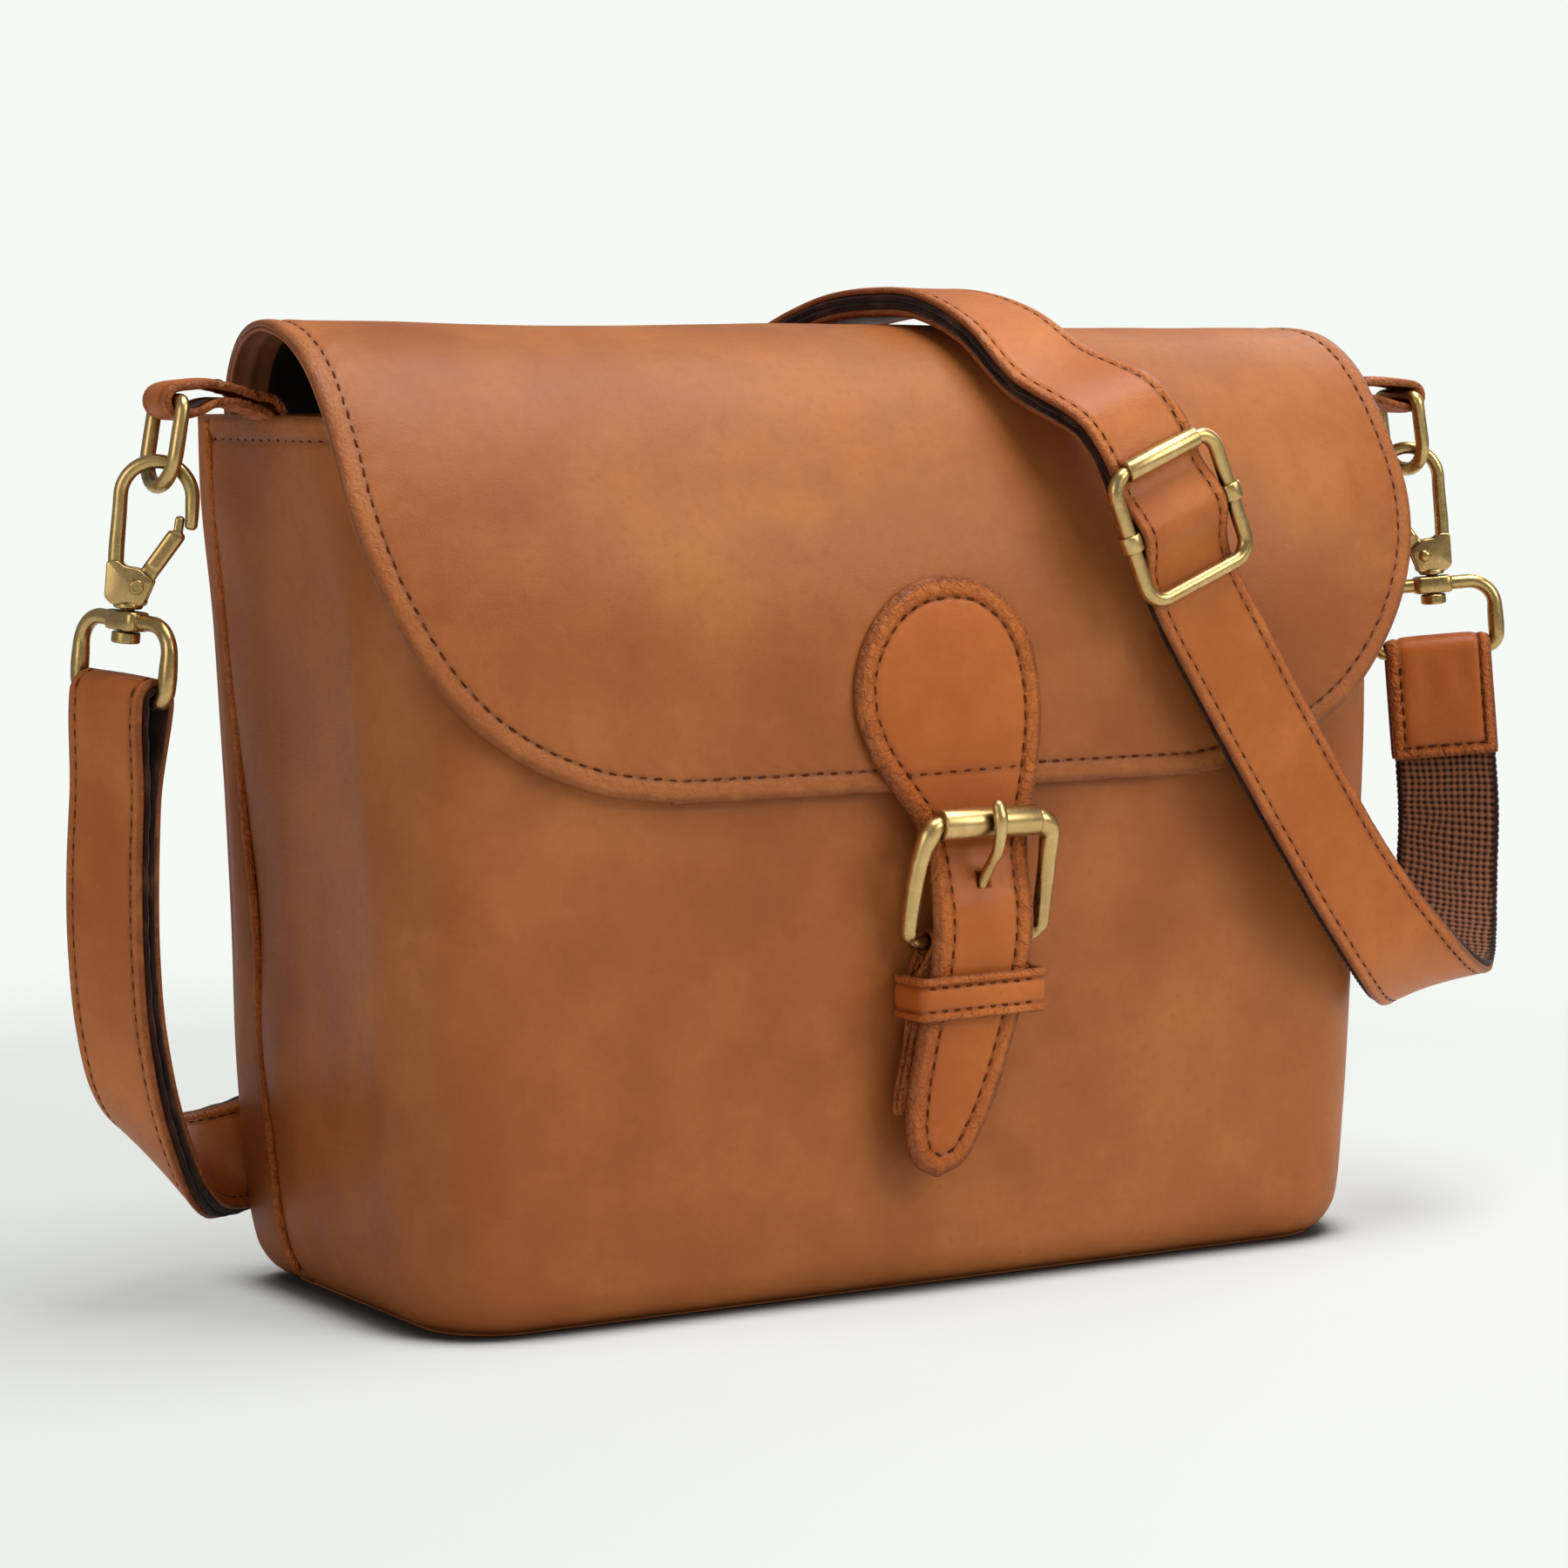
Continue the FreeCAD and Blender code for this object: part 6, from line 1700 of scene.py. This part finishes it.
# ------------------------------------------------------------------ slider
def add_slider():
    """Wire frame with a middle bar held by two sleeves, and a roller on its upper bar."""
    half_len, half, corner, lift = 15.8, 15.4, 5.0, 5.9
    up = -SLIDER_DOWN
    slider = (SLIDER, SLIDER_ACROSS, up, SLIDER_OUT)
    flat, tall = half - corner, half_len - corner
    path = np.vstack([
        np.c_[np.linspace(-flat, flat, 10), np.full(10, -half_len)],
        arc_pts((flat, -tall), corner, -80, 0, 9),
        np.c_[np.full(9, half), np.linspace(-tall + 1.5, tall - 1.5, 9)],
        arc_pts((flat, tall), corner, 0, 80, 9),
        np.c_[np.linspace(flat, -flat, 10), np.full(10, half_len)],
        arc_pts((-flat, tall), corner, 100, 180, 9),
        np.c_[np.full(9, -half), np.linspace(tall - 1.5, -tall + 1.5, 9)],
        arc_pts((-flat, -tall), corner, 180, 260, 9)])
    in_roller = (path[:, 1] > half_len - 0.3) & (np.abs(path[:, 0]) < 11.5)
    parts = [wire(path, np.where(in_roller, 1.6, 1.85), slider, seg=20, lift=lift)]
    middle = [(-half, 0, lift), (-half, 0, 3.9), (-half + 0.6, 0, 3.2), (-6, 0, 3.2),
              (6, 0, 3.2), (half - 0.6, 0, 3.2), (half, 0, 3.9), (half, 0, lift)]
    parts.append(outward(tube(to_world(slider, middle), 1.45)))
    for sign in (-1, 1):
        parts.append(sleeve(to_world(slider, np.array([sign * half, 0, lift])), up,
                            half=2.1, radius=2.75, bore=1.7, bevel=0.5))
    metal("slider_metal", parts, "flap", "slider_frame")
    roller = sleeve(to_world(slider, np.array([0.0, half_len, lift])), SLIDER_ACROSS,
                    half=10.6, radius=2.62, bore=1.64, bevel=0.35)
    metal("slider_roller_metal", [roller], "slider_roller", "slider_roller")


add_slider()

# CAD pieces that stay visible; all but these are brass.
CAD_MATERIALS = {"snap_stud": SNAP_METAL, "snap_socket": SNAP_METAL, "snap_backing": SNAP_METAL,
                 "base_board": BOARD}
for name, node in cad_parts.items():
    if node.hide_render:
        continue
    node.data.materials.clear()
    node.data.materials.append(CAD_MATERIALS.get(name, BRASS))

# ------------------------------------------------------------------ floor and world
BACKDROP = srgb(246, 250, 246)
scene = bpy.context.scene


def floor_material():
    """Soft contact shadow painted into the floor colour near the bag, fading into the plain backdrop colour.
    """
    m = Shader("floor", surface="ShaderNodeMixShader")
    diffuse = m.add("ShaderNodeBsdfDiffuse")
    glow = m.add("ShaderNodeEmission")
    glow.inputs["Color"].default_value = BACKDROP
    distance = m.add("ShaderNodeVectorMath", operation="LENGTH")
    m.link(m.add("ShaderNodeNewGeometry").outputs["Position"], distance.inputs[0])
    # Painted contact shadow: where the bag hides the floor, the floor's own colour turns dark and the
    # backdrop glow drops away.
    openness = m.occlusion(distance=0.016, samples=8)
    fade = m.math("MAXIMUM", m.ramp(distance.outputs["Value"], span=(0.22, 0.62)),
                  m.ramp(openness, span=(0.45, 0.98), to=(0.0, 0.42)))
    camera_ray = m.add("ShaderNodeLightPath").outputs["Is Camera Ray"]
    m.put(m.surface.inputs[0], m.times(fade, camera_ray))
    shade = m.mix(m.ramp(openness, span=(0.36, 0.78)),
                  (0.10, 0.09, 0.085, 1), (0.70, 0.71, 0.70, 1))
    m.put(diffuse.inputs["Color"], shade)
    m.link(diffuse.outputs[0], m.surface.inputs[1])
    m.link(glow.outputs[0], m.surface.inputs[2])
    return m.mat


FLOOR_HALF, FLOOR_DROP = 3.0, 0.0004
material = floor_material()
mesh = bpy.data.meshes.new("floor")
mesh.from_pydata([(x * FLOOR_HALF, y * FLOOR_HALF, 0)
                  for x, y in ((-1, -1), (1, -1), (1, 1), (-1, 1))], [], [(0, 1, 2, 3)])
floor = bpy.data.objects.new("floor", mesh)
scene.collection.objects.link(floor)
floor.location.z = -FLOOR_DROP
mesh.materials.append(material)


def build_world():
    """Dim grey light on the scene; the camera sees the backdrop colour."""
    world = bpy.data.worlds.new("studio")
    scene.world = world
    world.use_nodes = True
    tree = world.node_tree
    tree.nodes.clear()
    mix = tree.nodes.new("ShaderNodeMixShader")
    light_path = tree.nodes.new("ShaderNodeLightPath")
    tree.links.new(light_path.outputs["Is Camera Ray"], mix.inputs[0])
    for i, (color, strength) in enumerate((((0.80, 0.82, 0.84, 1), 0.34), (BACKDROP, 1.0))):
        background = tree.nodes.new("ShaderNodeBackground")
        background.inputs[0].default_value = color
        background.inputs[1].default_value = strength
        tree.links.new(background.outputs[0], mix.inputs[i + 1])
    tree.links.new(mix.outputs[0], tree.nodes.new("ShaderNodeOutputWorld").inputs[0])


build_world()


# ------------------------------------------------------------------ lights and camera
def area(name, place, target, size, power, color=(1, 1, 1)):
    light = bpy.data.lights.new(name, "AREA")
    light.shape = "RECTANGLE"
    light.size, light.size_y = size
    light.energy = power
    light.color = color
    obj = bpy.data.objects.new(name, light)
    scene.collection.objects.link(obj)
    obj.location = place
    obj.rotation_euler = (Vector(target) - Vector(place)).to_track_quat("-Z", "Y").to_euler()


area("key", place=(0.75, -1.15, 0.85), target=(0.04, 0, 0.10), size=(0.8, 0.7), power=9.0,
     color=(1.0, 0.99, 0.95))
area("top", place=(0.25, -0.25, 1.35), target=(0.02, 0, 0.1), size=(1.0, 0.7), power=15.5)
area("fill", place=(-1.4, -0.5, 0.5), target=(0, 0, 0.10), size=(0.7, 0.7), power=3.4,
     color=(1.0, 0.97, 0.93))
area("rim", place=(1.2, 0.7, 0.8), target=(0, 0, 0.12), size=(0.6, 0.8), power=3.5)


def add_camera(place, azimuth, elevation):
    """Camera looking down by elevation; azimuth turns its view from +y (degrees)."""
    data = bpy.data.cameras.new("camera")
    data.sensor_width = 36.0
    data.lens = 102.0
    data.clip_start = 0.01
    camera = bpy.data.objects.new("camera", data)
    scene.collection.objects.link(camera)
    azimuth, elevation = math.radians(azimuth), math.radians(elevation)
    view = np.array([-math.sin(azimuth) * math.cos(elevation),
                     math.cos(azimuth) * math.cos(elevation), -math.sin(elevation)])
    right = unit(np.cross(view, Z_AXIS))
    up = np.cross(right, view)
    rows = [(right[i], up[i], -view[i], place[i]) for i in range(3)]
    camera.matrix_world = Matrix(rows + [(0, 0, 0, 1)])
    scene.camera = camera


add_camera(place=(-0.562033, -0.900943, 0.213503), azimuth=-31.459, elevation=5.368)
scene.view_settings.view_transform = "Standard"
